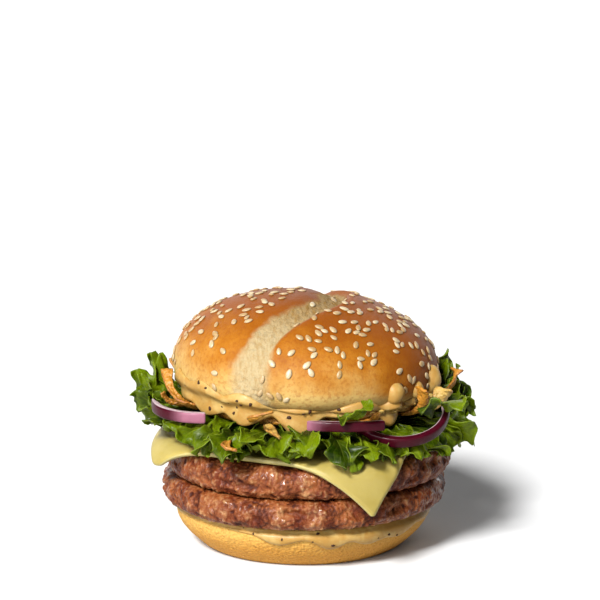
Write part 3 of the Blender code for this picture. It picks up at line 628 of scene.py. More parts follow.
def leaf_surface(root, middle, tip, width, roll, seed):
    """A function of t, along the leaf, and s, across it from -1 to 1, with toothed and ruffled margins."""
    draw = random.Random(seed)
    phase, waves = draw.uniform(0, TURN), draw.uniform(1.0, 1.5)
    fold = draw.uniform(0.1, 0.4) * draw.choice((-1, 1))
    frill, fine = draw.uniform(0, TURN), draw.uniform(2.6, 3.4)

    def point_at(t, s):
        spine, along, level = bowed(root, middle, tip, t)
        across = Matrix.Rotation(math.radians(roll), 3, along) @ level
        normal = across.cross(along)
        body = (0.34 + 0.95 * t) * (1.16 - max(0.0, t) ** 3.5)
        lobes = cusp(LEAF_TEETH * t)
        spikes = cusp(3 * LEAF_TEETH * t + 0.4 * math.sin(phase))
        half = width / 2 * body * (0.5 + 0.56 * lobes + 0.28 * spikes * abs(s))
        ruffle = 1.3 * LEAF_RUFFLE * width * s * s * math.sin(2 * math.pi * waves * t + phase + 1.3 * s)
        ruffle += 0.08 * width * abs(s) ** 3 * math.sin(2 * math.pi * fine * t + frill + s)
        lift = fold * abs(s) * half + ruffle
        swept = abs(s) * width * (0.16 * lobes + 0.08 * spikes * abs(s)) * (1 - t)
        return spine + across * s * half + along * swept + normal * lift

    return point_at


def between(first, second, share):
    """A leaf's sizes, this share of the way from one leaf to the next."""
    mixed = [a + (b - a) * share for a, b in zip(first, second)]
    for place in (0, 2):
        turn = (second[place] - first[place] + 180) % 360 - 180
        mixed[place] = first[place] + turn * share
    return mixed


def all_shreds(to_a_gap):
    """Small shreds of leaf in every gap between two leaves, a little inside their tips, by seeded draws."""
    leaves = all_leaves()
    draw = random.Random(DRAWS["shreds"])
    shreds = []
    for first, second in zip(leaves, leaves[1:] + leaves[:1]):
        for i in range(to_a_gap):
            mixed = between(first, second, (i + 0.5) / to_a_gap)
            root, root_z, tip, tip_radius, tip_z, width, arch, _ = mixed
            shreds.append((
                root + draw.uniform(-3, 3), root_z + draw.uniform(-3, 1), tip + draw.uniform(-7, 7),
                tip_radius - draw.uniform(1.5, 6), tip_z + draw.uniform(-2.5, 3.0),
                width * draw.uniform(0.5, 0.75), arch + draw.uniform(-1, 3), draw.uniform(-80, 80),
            ))
    return shreds


def bed_leaf(seed, leaf):
    """The surface of a leaf that grows out of the bed."""
    root_angle, root_z, tip_angle, tip_radius, tip_z, width, arch, roll = leaf
    root = polar(LEAF_ROOT_RADIUS, root_angle, root_z * MM)
    elbow_radius = LEAF_ROOT_RADIUS + LEAF_ELBOW * (tip_radius * MM - LEAF_ROOT_RADIUS)
    middle = polar(elbow_radius, (root_angle + tip_angle) / 2, (root_z + arch) * MM)
    if abs(root_angle - tip_angle) > 180:
        middle.xy = -middle.xy
    tip = polar(tip_radius * MM, tip_angle, tip_z * MM)
    return leaf_surface(root, middle, tip, width * MM, roll, seed)


# Each sprig: node, root, elbow and tip (mm), width (mm), roll and seed
SPRIGS = (
    ("lettuce_sprig_front", (13, -53, 60.4), (19, -60, 60.5), (24, -58, 68.5), 10, -10, 8),
    ("lettuce_sprig_right", (42, -47, 62), (51, -46, 65), (60, -38, 63.5), 14, -25, 19),
)


# Red onion
# Name, centre (mm), radius (mm), first and last angle, forward tilt in degrees, height of the slice (mm)
ONIONS = (
    ("onion_left", (-37.0, -20.5, 56.2), 20.8, 180, 272, 3, 4.2),
    ("onion_front", (15.6, -16.5, 55.6), 40.0, -111, -69, 0, 3.8),
    ("onion_right", (35.6, -33.0, 57.0), 19.2, -150, 8, 28, 4.2),
    ("onion_back", (-10.0, 22.0, 55.4), 33.0, 62, 132, 0, 4.2),
)
ONION_WALL = 2.8 * MM
# How faded the skin is at the first end, where that turns, how faded at the last, and where the cut begins
ONION_FADING = {
    "onion_left": (0.0, 0.42, 0.9, 0.25), "onion_front": (0.8, -0.12, 0.0, -0.1),
    "onion_right": (0.0, 0.0, 0.0, -0.45), "onion_back": (0.0, 0.5, 0.8, 0.0),
}


# Crown
def crown_place(point):
    """From the crown's own frame to the burger's."""
    turned = Matrix.Rotation(math.radians(CROWN_TILT), 3, "Y") @ point
    return turned + Vector((0.3 * MM, 0, CROWN_RIM_Z))


def split_line(y):
    """X of the fold across the crown: slanting from the front left to the top, then turning back left."""
    short = (SPLIT_RIGHTMOST - SPLIT_SLANT - y) / SPLIT_TURN
    front = SPLIT_RIGHTMOST - SPLIT_TURN * math.log1p(math.exp(short))
    return front - 13 * MM * smooth((y - 8 * MM) / (40 * MM))


def split_offset(x, y):
    """Distance from the fold, positive on its right."""
    slope = (split_line(y + MM) - split_line(y - MM)) / (2 * MM)
    return (x - split_line(y)) / math.sqrt(1 + slope * slope)


def split_relief(x, y):
    """How far the skin lies below the plain dome: a long slope on the left, a steep lip on the right."""
    depth = SPLIT_DEPTH * max(0.1, 1 - ((y - 5 * MM) / (56 * MM)) ** 2)
    off = split_offset(x, y)
    if off < 0:
        return depth * smooth(1 + off / SPLIT_LEFT_WIDTH)
    lip = SPLIT_LIP * math.exp(-(((off - 1.6 * SPLIT_RIGHT_WIDTH) / (4 * MM)) ** 2))
    return depth * (1 - smooth(off / SPLIT_RIGHT_WIDTH)) - lip


def crown_profile(climb):
    """Radius and height of the plain crown; climb runs from -90 at the rim's underside to 90 at the top."""
    c = math.radians(climb)
    if climb < 0:
        return CROWN_RADIUS - CROWN_RIM_ROUND * (1 - math.cos(c)), CROWN_WIDEST * (1 + math.sin(c))
    power = 2 / CROWN_POWER
    return CROWN_RADIUS * max(0.0, math.cos(c)) ** power, CROWN_WIDEST + CROWN_DOME * math.sin(c) ** power


def crown_skin(angle, climb, outward=0.0):
    """Point of the crown's skin in the burger's frame, moved outward along its rough normal."""
    radius, height = crown_profile(climb)
    base = polar(radius, angle, height)
    out = Vector((base.x / CROWN_RADIUS, base.y / CROWN_RADIUS, (height - CROWN_WIDEST) / CROWN_DOME))
    if climb < 0:
        out.z = (height - CROWN_WIDEST) / CROWN_WIDEST
    out.normalize()
    uneven = 0.8 * MM * wave(base, 34 * MM, 2)
    sunk = split_relief(base.x, base.y) * smooth((climb + 30) / 40)
    return crown_place(base + out * (outward + (uneven - sunk) * smooth((climb + 60) / 50)))


def torn_share(base, climb):
    """How much the torn pale dough shows here: 1 in the middle of the fold, 0 on the browned skin."""
    off = split_offset(base.x, base.y)
    low = 1 - smooth((climb - 6) / 34)
    left_edge = (-9.6 - 0.4 * low + 1.8 * wave(base, 8 * MM, 31) + 1.0 * wave(base, 2.6 * MM, 32)) * MM
    right_edge = (0.4 + 0.8 * low) * MM + 0.4 * MM * wave(base, 3 * MM, 33)
    rise = smooth((off - left_edge + (2.4 + 2 * low) * MM) / ((5 + 5 * low) * MM))
    fall = 1 - smooth((off - right_edge) / ((1.2 + 5 * low) * MM))
    return rise * fall


def crown_detail(base, climb, torn):
    """Small relief of the baked skin, and the strands of the torn dough."""
    turned = Matrix.Rotation(math.radians(-32), 3, "Z") @ base
    strands = Vector((turned.x / 2.2, turned.y / 0.7, turned.z))
    rough = 0.42 * MM * wave(strands, 1.5 * MM, 41) + 0.22 * MM * wave(base, 1.1 * MM, 42)
    skin = 0.10 * MM * wave(base, 5 * MM, 43) + 0.03 * MM * wave(base, 1.3 * MM, 44)
    return torn * rough + (1 - torn) * skin


def browning_and_right_shade(base, climb):
    """How browned the crust is, 0 where it is palest: more towards the top, with painted shade added on the
    right side.
    """
    # the term in base.x is painted shade: it darkens the crust on the right, away from the key light
    toasted_and_shaded = climb + 20 + 8 * wave(base, 20 * MM, 111) + 52 * smooth((base.x - 17 * MM) / (32 * MM))
    return max(0.0, toasted_and_shaded / 110)


SOLID_SEEDS = 132  # seeds that the solid crown has
SOLID_SEED_SPACING = 3.3 * MM
SEED_SPACING = 2.3 * MM
SEED_FALL = 38  # degrees of climb that a seed may lie lower than the solid crown's lowest
SEED_SAUCE_GAP = 6  # degrees of climb between the sauce and a seed
SEEDS_IN_FOLD = 0.08  # their share of the seeds beside the fold


def seed_spots(count):
    """Angle, climb, turn and size of each seed: the solid crown's own, then more, which also lie lower."""
    draw = random.Random(DRAWS["seeds"])
    spots, points = [], []
    while len(spots) < count:
        extra = len(spots) >= SOLID_SEEDS
        angle = draw.uniform(0, 360)
        climb = math.degrees(math.asin(draw.uniform(0.05, 1) ** 0.9))
        if extra:
            climb -= SEED_FALL * draw.random() * smooth(1 - climb / 40)
            if climb < dollop_sizes(angle)[0] + SEED_SAUCE_GAP:
                continue
        point = crown_skin(angle, climb)
        fewest = 0.55 if extra else 0.3
        wanted = fewest + (1 - fewest) * smooth((climb - 4) / 26)
        if -12 * MM < split_offset(point.x, point.y) < 1.5 * MM:
            wanted *= SEEDS_IN_FOLD
        nearest = SEED_SPACING if extra else SOLID_SEED_SPACING
        if draw.random() > wanted or any((point - p).length < nearest for p in points):
            continue
        spots.append((angle, climb, draw.uniform(0, 180), draw.uniform(0.86, 1.12)))
        points.append(point)
    return spots


# Sauce under the crown
# Centre angle, half width, climb up the crown's side in degrees, hang below the rim (mm), thickness (mm)
DOLLOPS = (
    (-158, 18, 2, 0.8, 1.0), (-139, 17, -4, 3.2, 1.3), (-118, 16, -18, 4.4, 2.0),
    (-93, 14, -60, 7.2, 3.2), (-65, 16, -27, 0.8, 2.4), (-48, 9, -24, 4.4, 3.2), (-35, 8, -36, 0.8, 2.2),
    (-20, 13, -22, 0.6, 2.8),
    (14, 18, -50, 1.6, 2.0), (44, 18, -20, 3.6, 2.4), (72, 14, -60, 1.6, 2.0), (98, 18, -18, 4.2, 2.6),
    (130, 18, -60, 2.0, 2.0), (158, 16, -26, 3.0, 2.4),
)
# Lumps of it pressed up the crown's right side: angle, climb, outward (mm), half width and half height (mm)
BLOBS = ((-48.5, -12, -0.8, 3.8, 4.2), (-34.5, -14, -0.4, 2.8, 3.4), (-20.5, 0, -0.8, 4.2, 5.6))
SAUCE_LEAST_CLIMB = -84
SAUCE_FILM = 0.9 * MM  # where no dollop thickens it
FLECK_SMALLEST = 0.3  # the smallest fleck of pepper, as a share of the largest


def dollop_sizes(angle):
    """How far the sauce climbs, hangs and bulges at this angle round the rim."""
    rise, hang, thick = 0.0, 0.0, SAUCE_FILM**3
    for centre, half, top, below, fat in DOLLOPS:
        share = bump(angle, centre, half)
        rise += ((top - SAUCE_LEAST_CLIMB) * share**0.5) ** 3
        hang += (below * MM * share) ** 3
        thick += (fat * MM * share**0.5) ** 3
    return SAUCE_LEAST_CLIMB + rise ** (1 / 3), hang ** (1 / 3), thick ** (1 / 3)


def upper_sauce_corners(angle):
    """Corners of the section from the underside inside, round the hanging lip and up the crown."""
    climb, hang, thick = dollop_sizes(angle)
    rise = climb - SAUCE_LEAST_CLIMB
    shown = smooth(rise / 50)
    out = polar(1, angle, 0)
    under = crown_skin(angle, -90)
    floor = under.z - UPPER_SAUCE_DEPTH

    def on_crown(share, fat):
        return crown_skin(angle, SAUCE_LEAST_CLIMB + rise * share, GAP + thick * fat * (0.3 + 0.7 * shown))

    lip = on_crown(0.35, 0.85)
    foot = lip + out * 0.15 * thick * (1 - 2 * shown)
    foot.z = floor - hang + 0.8 * MM
    toe = foot - out * (0.8 * thick + 0.6 * MM) - UP * 0.8 * MM
    inside = under - out * 3 * MM
    inside.z = floor
    corners = [inside, toe, foot, lip, on_crown(0.75, 0.5 + 0.4 * shown), on_crown(1, 0.12)]
    corners.append(crown_skin(angle, SAUCE_LEAST_CLIMB + rise * 0.96, -0.8 * MM))
    return corners


def rounded(corners, steps):
    """A smooth run of points through the corners."""
    held = [corners[0]] + list(corners) + [corners[-1]]
    run = []
    for a, b, c, d in zip(held, held[1:], held[2:], held[3:]):
        for i in range(steps):
            t = i / steps
            square, cube = 2 * a - 5 * b + 4 * c - d, 3 * b - a - 3 * c + d
            run.append(0.5 * (2 * b + (c - a) * t + square * t**2 + cube * t**3))
    run.append(corners[-1])
    return run


# Crispy fried onion
# Each flake in front: inner end, elbow and outer end (mm), width (mm)
FRONT_CRISPS = (
    ((-32, -19, 56.3), (-50.5, -31, 57.0), (-52.5, -13, 69.8), 5.0),
    ((-35, -12, 56), (-52, -19.5, 56.5), (-54, -19, 62), 5.0),
    ((-13, -35, 56.3), (-26, -55, 58.5), (-11, -54.5, 62.8), 3.0),
    ((-15, -33, 55), (-12.5, -50.5, 54.4), (-8.5, -55.6, 53.4), 3.6),
    ((-20, -37, 51), (-34, -64, 52.0), (-24.0, -63.0, 50.6), 3.0),
    ((18, -33, 55.2), (25, -49, 55.2), (27, -51.5, 61.5), 4.5),
    ((31, -20, 55.2), (49.5, -32, 55), (43.5, -36.5, 67.3), 6.0),
    ((35, -15, 54.9), (54, -26.5, 54.8), (52.5, -28, 65.5), 6.5),
    ((36, -4, 54.9), (59, -6, 55), (60, -5, 68.5), 6.0),
)
BACK_CRISP_COUNT = 5


def all_crisps():
    """The flakes that the front shows, then the back ones by seeded draws."""
    crisps = list(FRONT_CRISPS)
    draw = random.Random(DRAWS["back crisps"])
    for i in range(BACK_CRISP_COUNT):
        angle = 22 + 140 * (i + 0.5) / BACK_CRISP_COUNT
        ends = (polar(40, angle, 56.3), polar(54, angle + draw.uniform(-12, 12), 56.4))
        outer = polar(draw.uniform(55, 59), angle + draw.uniform(-14, 14), draw.uniform(61, 70))
        crisps.append((tuple(ends[0]), tuple(ends[1]), tuple(outer), draw.uniform(4.5, 7)))
    return crisps


def crisp_surface(inner, elbow, outer, width):
    """A ragged, blistered and curling flake, as a function of t along it and s across it."""
    inner, elbow, outer = Vector(inner) * MM, Vector(elbow) * MM, Vector(outer) * MM

    def point_at(t, s):
        spine, along, level = bowed(inner, elbow, outer, t)
        normal = level.cross(along)
        half = width / 2 * MM * (0.8 + 0.3 * math.sin(8 * t + width))
        point = spine + level * s * half + normal * half * (0.3 * s * s + 0.25 * math.cos(6 * t + 2 * s))
        ragged = 1 + 0.22 * wave(Vector((8 * t, width, 3 * s)), 1.0, 51) * abs(s)
        blister = 0.5 * MM * wave(point, 2.0 * MM, 52) + 0.25 * MM * wave(point, 0.8 * MM, 53)
        return spine + (point - spine) * ragged + normal * blister

    return point_at


# Settings
def colour_property(name, description, default):
    return FloatVectorProperty(
        name=name, description=description, subtype="COLOR", size=3, min=0, max=1, default=default
    )


def length_property(name, description, default, lowest, highest):
    return FloatProperty(
        name=name, description=description, default=default, min=lowest, max=highest, unit="LENGTH"
    )


def count_property(name, description, default, highest, lowest=0):
    return IntProperty(name=name, description=description, default=default, min=lowest, max=highest)


def amount_property(name, description, default, highest, lowest=0):
    return FloatProperty(name=name, description=description, default=default, min=lowest, max=highest)


class CrownSettings(bpy.types.PropertyGroup):
    baked: colour_property("Baked", "Browned skin on the top of the crown", food(182, 98, 16))
    # on the right this darkest tone is painted shade; at the top it is the crust's own browning
    deep_and_shade: colour_property("Deep", "Darkest skin, at the top and on the right", food(138, 68, 8))
    golden: colour_property("Golden", "Skin on the crown's sides", food(222, 143, 40))
    rim: colour_property("Rim", "Pale skin near the crown's rim", food(250, 210, 126))
    dough: colour_property("Dough", "Torn dough in the fold", food(230, 206, 156))
    seed: colour_property("Sesame", "Sesame seeds", food(252, 230, 186))
    seed_count: count_property("Seeds", "Sesame seeds on the crown", 290, 600)
    seed_length: length_property("Seed length", "Length of one seed", 3.4 * MM, 1 * MM, 6 * MM)
    columns: count_property("Columns", "Faces round the crown", 400, 600, 40)


class HeelSettings(bpy.types.PropertyGroup):
    crust: colour_property("Crust", "Baked skin of the heel", food(268, 194, 84))
    pale: colour_property("Flour", "Paler skin near the heel's top edge", food(264, 208, 108))
    height: length_property("Height", "Height of the heel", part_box("bun_heel")[1].z, 5 * MM, 40 * MM)


class PattySettings(bpy.types.PropertyGroup):
    seared: colour_property("Seared", "Browned outside of the meat", food(178, 98, 48))
    # painted highlight on the tops of the lumps
    lump_highlight: colour_property("Moist", "Lighter meat on top of the lumps", food(252, 196, 134))
    # painted shade down in the hollows between the lumps
    crack_shade: colour_property("Cracks", "Meat down in the cracks", food(80, 26, 6))
    relief: FloatProperty(
        name="Relief", description="Strength of the meat's lumps", default=1.0, min=0, max=2, subtype="FACTOR"
    )


class CheeseSettings(bpy.types.PropertyGroup):
    body: colour_property("Cheese", "Body of the slice", food(222, 200, 112))
    edge: colour_property("Edge", "Rim of the slice", food(232, 216, 140))
    thickness: length_property("Thickness", "Thickness of the slice", 2.3 * MM, 1 * MM, 5 * MM)


class LettuceSettings(bpy.types.PropertyGroup):
    # towards the roots of the leaves this green also carries painted shade
    dark: colour_property("Dark", "Deep green of the blades", food(34, 58, 0))
    bright: colour_property("Bright", "Fresh green of the blades", food(124, 146, 4))
    rib: colour_property("Ribs", "Pale ribs and margins", food(184, 198, 70))
    shred_count: count_property("Shreds", "Small shreds to every gap between two leaves", 3, 5)
    thickness: length_property("Thickness", "Thickness of a leaf", 0.75 * MM, 0.3 * MM, 2 * MM)


class OnionSettings(bpy.types.PropertyGroup):
    skin: colour_property("Skin", "Outside of the onion's layers", food(80, 6, 28))
    blush: colour_property("Blush", "Where the skin's colour fades", food(208, 134, 158))
    flesh: colour_property("Flesh", "Cut faces", food(238, 214, 214))


class CrispSettings(bpy.types.PropertyGroup):
    fried: colour_property("Fried", "Fried onion", food(234, 158, 40))
    pale: colour_property("Pale", "Lightly fried parts", food(250, 208, 108))
    dark: colour_property("Dark", "Browned edges", food(180, 94, 14))
    crumb_count: count_property("Crumbs", "Crumbs stuck in the sauce on the right", 26, 200)


class SauceSettings(bpy.types.PropertyGroup):
    cream: colour_property("Sauce", "Pepper sauce", food(222, 170, 84))
    pale: colour_property("Pale", "Thinner, paler sauce", food(240, 200, 118))
    pepper: colour_property("Pepper", "Flecks of pepper", food(70, 42, 30))
    fleck_count: amount_property("Flecks", "Flecks of pepper to a square centimetre", 1.4, 10)
    fleck_size: length_property("Fleck size", "Width of the largest flecks", 2.3 * MM, 0.2 * MM, 3 * MM)


class StageSettings(bpy.types.PropertyGroup):
    floor: colour_property("Floor", "Plain floor", (0.55, 0.55, 0.55))
    key: amount_property("Key light", "Strength of the main light", 8.0, 30)
    low: amount_property("Low light", "Strength of the wide low light in front", 3.8, 30)
    back: amount_property("Back light", "Strength of the wide light behind", 0.3, 30)
    fill: amount_property("Fill light", "Strength of the light all round", 0.03, 5)
    camera_distance: length_property("Camera distance", "From the burger to the camera, level", 0.75, 0.2, 3)
    camera_height: length_property("Camera height", "Height of the camera", 0.225, 0, 2)
    camera_lens: amount_property("Lens", "Focal length in millimetres", 117.6, 300, 20)


# Materials, with the colours beside those in the settings
CRUST_SPECK = food(176, 88, 22)
# tan of the torn dough towards the top, partly its own toasting and partly painted shade
DOUGH_TOASTED_AND_SHADED = food(188, 142, 70)
DOUGH_FRAYED = food(206, 150, 66)
SEED_DARKER = food(216, 174, 110)
SEED_TOASTED = food(206, 158, 96)
HEEL_GRAIN = food(206, 124, 42)
BEEF_BLOTCH = food(136, 56, 18)
CHEESE_MOTTLE = food(204, 180, 88)
ONION_MOTTLE = food(212, 172, 190)
SAUCE_BITS = food(150, 96, 48)
HUSK_PALE = food(98, 62, 40)
FLOOR_GRAIN = (0.5, 0.5, 0.5)


def crown_material(settings):
    finish = Finish("crown_bread")
    # this mark holds the crust's browning and the painted shade on its right side
    bake = finish.mark("bake")
    frayed = finish.cloud(3.4 * MM, 5, 0.7)
    torn = (finish.mark("torn") + (frayed - 0.5) * 0.7).fade(0.08, 1.0)
    blotch = finish.cloud(14 * MM, 4, 0.6) - 0.5
    skin = finish.mix((bake + blotch * 0.45).fade(0.06, 0.42), settings.rim, settings.golden)
    skin = finish.mix((bake + blotch * 0.7).fade(0.22, 0.70), skin, settings.baked)
    skin = finish.mix((bake + blotch * 0.5).fade(0.7, 1.2), skin, settings.deep_and_shade)
    speck = finish.cloud(1.5 * MM, 4, 0.6).fade(0.46, 0.68)
    skin = finish.mix(speck * 0.4, skin, CRUST_SPECK)
    strands = finish.cloud(2.2 * MM, 4, 0.65, place=finish.stretched((0.6, 2.4, 1.6))).fade(0.4, 0.7)
    # towards the top the dough turns tan, partly toasting and partly painted shade
    dough = finish.mix(strands * 0.5 + bake.fade(0.4, 0.85) * 0.5, settings.dough, DOUGH_TOASTED_AND_SHADED)
    dough = finish.mix(frayed.fade(0.5, 0.75) * 0.45, dough, DOUGH_FRAYED)
    colour = finish.mix(torn, skin, dough)
    fine = finish.cloud(0.9 * MM, 3, 0.6)
    pores = finish.relief(fine, 0.16 * MM)
    crumb = finish.relief(finish.cloud(1.6 * MM, 5, 0.65) * torn, 0.8 * MM, pores)
    roughness = 0.5 + torn * 0.3 + (fine - 0.5) * 0.2
    return finish.wear(colour, roughness, crumb, glow=(0.06, (1.0, 0.5, 0.2), 1.2 * MM), specular=0.08)


def seed_material(settings):
    finish = Finish("sesame")
    toast = finish.cloud(1.4 * MM, 2, 0.5).fade(0.45, 0.75)
    colour = finish.mix(finish.mark("shade"), settings.seed, SEED_DARKER)
    colour = finish.mix(toast * 0.4, colour, SEED_TOASTED)
    skin = finish.relief(finish.cloud(0.4 * MM, 2, 0.5), 0.03 * MM)
    return finish.wear(colour, 0.38 + toast * 0.15, skin, glow=(0.25, (1.0, 0.7, 0.4), 0.8 * MM))


def heel_material(settings):
    finish = Finish("heel_bread")
    height = finish.node("ShaderNodeSeparateXYZ", None, [finish.place], "Z")
    upper = (height + (finish.cloud(12 * MM) - 0.5) * 6 * MM).fade(6 * MM, 14 * MM)
    skin = finish.mix(upper, settings.crust, settings.pale)
    grain = finish.cloud(0.9 * MM, 3, 0.6)
    skin = finish.mix(grain.fade(0.48, 0.68) * 0.5, skin, HEEL_GRAIN)
    dimples = finish.relief(finish.cells(1.1 * MM), 0.32 * MM)
    normal = finish.relief(finish.cloud(2.2 * MM, 4, 0.65), 0.45 * MM, dimples)
    roughness = 0.72 + (grain - 0.5) * 0.2
    return finish.wear(skin, roughness, normal, glow=(0.06, (1.0, 0.5, 0.2), 1.5 * MM), specular=0.12)


def beef_material(settings):
    finish = Finish("seared_beef")
    crest = finish.mark("crest")
    grain = finish.cloud(1.3 * MM, 4, 0.6)
    blotch = finish.cloud(7 * MM, 3, 0.5)
    body = finish.mix(blotch.fade(0.35, 0.65), settings.seared, BEEF_BLOTCH)
    # painted highlight on the crests of the lumps, broken by random grain
    body = finish.mix((crest * 0.7 + (grain - 0.5) * 1.1).fade(0.28, 0.92) * 0.85, body, settings.lump_highlight)
    # painted shade down in the hollows between the lumps
    colour = finish.mix((crest + (grain - 0.5) * 0.6).fade(0.48, 0.06), body, settings.crack_shade)
    fine = finish.relief(grain, 0.6 * MM)
    normal = finish.relief(finish.cloud(0.6 * MM, 2, 0.5), 0.15 * MM, fine)
    wet = finish.cloud(4 * MM, 3, 0.6).fade(0.4, 0.62) * crest.fade(0.2, 0.6)
    return finish.wear(
        colour, 0.5 - wet * 0.14, normal, wet * 0.7, glow=(0.08, (1.0, 0.35, 0.2), 1.2 * MM), specular=0.15,
        coat_roughness=0.14, coat_ior=1.4,
    )


def cheese_material(settings):
    finish = Finish("sliced_cheese")
    mottle = finish.cloud(14 * MM, 3, 0.5)
    body = finish.mix(mottle.fade(0.35, 0.7), settings.body, CHEESE_MOTTLE)
    colour = finish.mix(finish.mark("rim"), body, settings.edge)
    curd = finish.cloud(2.2 * MM, 3, 0.5)
    normal = finish.relief(curd, 0.05 * MM)
    roughness = 0.46 + (curd - 0.5) * 0.25
    return finish.wear(colour, roughness, normal, glow=(0.35, (1.0, 0.8, 0.35), 2.0 * MM), specular=0.2)


def lettuce_material(settings):
    finish = Finish("lettuce_leaf")
    along, across, shade = (finish.mark(name) for name in SHEET_MARKS)
    side = abs(across)
    blotch = finish.cloud(7 * MM, 3, 0.55)
    # random tone of each leaf and patch, plus painted shade that darkens each leaf towards its root
    tone_and_root_shade = (shade * 0.6 + (blotch - 0.5) * 1.7 + along * 0.75).fade(0.3, 1.2)
    blade = finish.mix(tone_and_root_shade, settings.dark, settings.bright)
    vein = ((along * 6 - side * 2.6).math("PINGPONG", 0.5) * 2).fade(0.25, 0.0) * side.fade(0.02, 0.2)
    rib = side.fade(0.09, 0.0) * (1.0 - along)
    margin = side.fade(0.92, 1.0) * 0.2
    pale = (rib * 0.7).math("MAXIMUM", margin).math("MAXIMUM", vein * 0.08)
    colour = finish.mix(pale.math("MINIMUM", 1.0), blade, settings.rib)
    quilt = finish.relief(finish.cloud(3.0 * MM, 2, 0.4), 0.5 * MM)
    normal = finish.relief(1 - (vein * 0.4).math("MAXIMUM", rib), 0.2 * MM, quilt)
    return finish.wear(
        colour, 0.38 + (blotch - 0.5) * 0.2, normal, blotch * 0.08, glow=(0.3, (0.7, 1.0, 0.2), 1.5 * MM),
        specular=0.1, coat_roughness=0.25,
    )


def onion_material(settings):
    finish = Finish("onion_ring")
    along, skin, fade = (finish.mark(name) for name in ONION_MARKS)
    drawn_out = finish.node("ShaderNodeCombineXYZ", None, [along * 7, skin * 0.6, 0.0])
    streaks = finish.cloud(1.0, 3, 0.6, place=drawn_out)
    tone = (fade + (streaks - 0.5) * 0.5).fade(0.05, 0.95)
    outer = finish.mix(tone, settings.skin, settings.blush)
    flesh = finish.mix(finish.cloud(2 * MM, 3, 0.5).fade(0.4, 0.7), settings.flesh, ONION_MOTTLE)
    colour = finish.mix(skin.fade(0.25, 0.6), flesh, outer)
    cells = finish.cells(0.8 * MM)
    return finish.wear(
        colour, 0.36 + (streaks - 0.5) * 0.15, finish.relief(cells, 0.04 * MM), 0.04 + cells * 0.06,
        glow=(0.2, (1.0, 0.5, 0.7), 1.2 * MM), specular=0.1, coat_roughness=0.15,
    )


def crisp_material(settings):
    finish = Finish("crisp_onion")
    patch = finish.cloud(2.6 * MM, 4, 0.6)
    light = (finish.mark("shade") + (patch - 0.5) * 1.2).fade(0.2, 0.9)
    body = finish.mix(light, settings.fried, settings.pale)
    burnt = (abs(finish.mark("across")) + (patch - 0.5) * 1.2).fade(0.75, 1.2)
    colour = finish.mix(burnt * 0.8, body, settings.dark)
    blister = finish.relief(finish.cells(1.0 * MM), 0.35 * MM)
    normal = finish.relief(finish.cloud(0.6 * MM, 3, 0.6), 0.15 * MM, blister)
    return finish.wear(colour, 0.4 + patch * 0.25, normal, glow=(0.12, (1.0, 0.5, 0.2), 1.0 * MM))


def sauce_material(settings):
    finish = Finish("poured_sauce")
    swirl = finish.cloud(5 * MM, 3, 0.55, 0.6)
    colour = finish.mix(swirl.fade(0.4, 0.72), settings.cream, settings.pale)
    bits = finish.cloud(0.7 * MM, 2, 0.5).fade(0.68, 0.76)
    colour = finish.mix(bits * 0.5, colour, SAUCE_BITS)
    fine = finish.cloud(1.2 * MM, 3, 0.55)
    return finish.wear(
        colour, 0.5 + (fine - 0.5) * 0.2, finish.relief(fine, 0.12 * MM), swirl * 0.12,
        glow=(0.2, (1.0, 0.6, 0.3), 1.5 * MM), specular=0.2, coat_roughness=0.25,
    )


def pepper_material(settings):
    finish = Finish("pepper_husk")
    husk = finish.cloud(0.5 * MM, 3, 0.6)
    colour = finish.mix(husk.fade(0.4, 0.7), settings.pepper, HUSK_PALE)
    return finish.wear(colour, 0.5 + husk * 0.3, finish.relief(husk, 0.1 * MM), specular=0.15)


def floor_material(settings):
    finish = Finish("floor")
    paper = finish.cloud(2 * MM, 2, 0.5)
    colour = finish.mix(paper * 0.04, settings.floor, FLOOR_GRAIN)
    return finish.wear(colour, 0.85 + paper * 0.1, specular=0.1)


# Geometry Nodes
def seed_scatter():
    """Sets a seed on each spot, along the normal kept there, and turns and sizes it."""
    tree = Scatter(
        "sesame_scatter", "Seeds", Spots="Geometry", Seed="Object", Length="Float", Material="Material"
    )
    given = tree.given
    facing = {"Vector": tree.kept("facing", "FLOAT_VECTOR")}
    upright = tree.node("FunctionNodeAlignRotationToVector", {"axis": "Z"}, facing)
    size = tree.kept("grow") * given["Length"]
    seeds = tree.copies(given["Spots"], given["Seed"], upright, tree.kept("turn"), size)
    values = {"Geometry": seeds, "Name": "shade", "Value": tree.random(0.0, 1.0, SEED_SHADE_SEED)}
    settings = {"data_type": "FLOAT", "domain": "INSTANCE"}
    return tree.finished(tree.node("GeometryNodeStoreNamedAttribute", settings, values))


def fleck_scatter():
    """Strews flecks over the faces of a surface that are marked as shown."""
    tree = Scatter(
        "fleck_scatter", "Flecks", Surface="Geometry", Fleck="Object", Density="Float", Size="Float",
        Material="Material",
    )
    given = tree.given
    density = given["Density"] * tree.kept("shown")
    values = {"Mesh": given["Surface"], "Density": density, "Seed": FLECK_SPOT_SEED}
    spots = tree.node("GeometryNodeDistributePointsOnFaces", {"distribute_method": "RANDOM"}, values)
    upright = Signal(tree, spots.socket.node.outputs["Rotation"])
    spin = tree.random(0.0, TURN, FLECK_SPIN_SEED)
    size = tree.random(FLECK_SMALLEST, 1.0, FLECK_SIZE_SEED) * given["Size"]
    return tree.finished(tree.copies(spots, given["Fleck"], upright, spin, size))


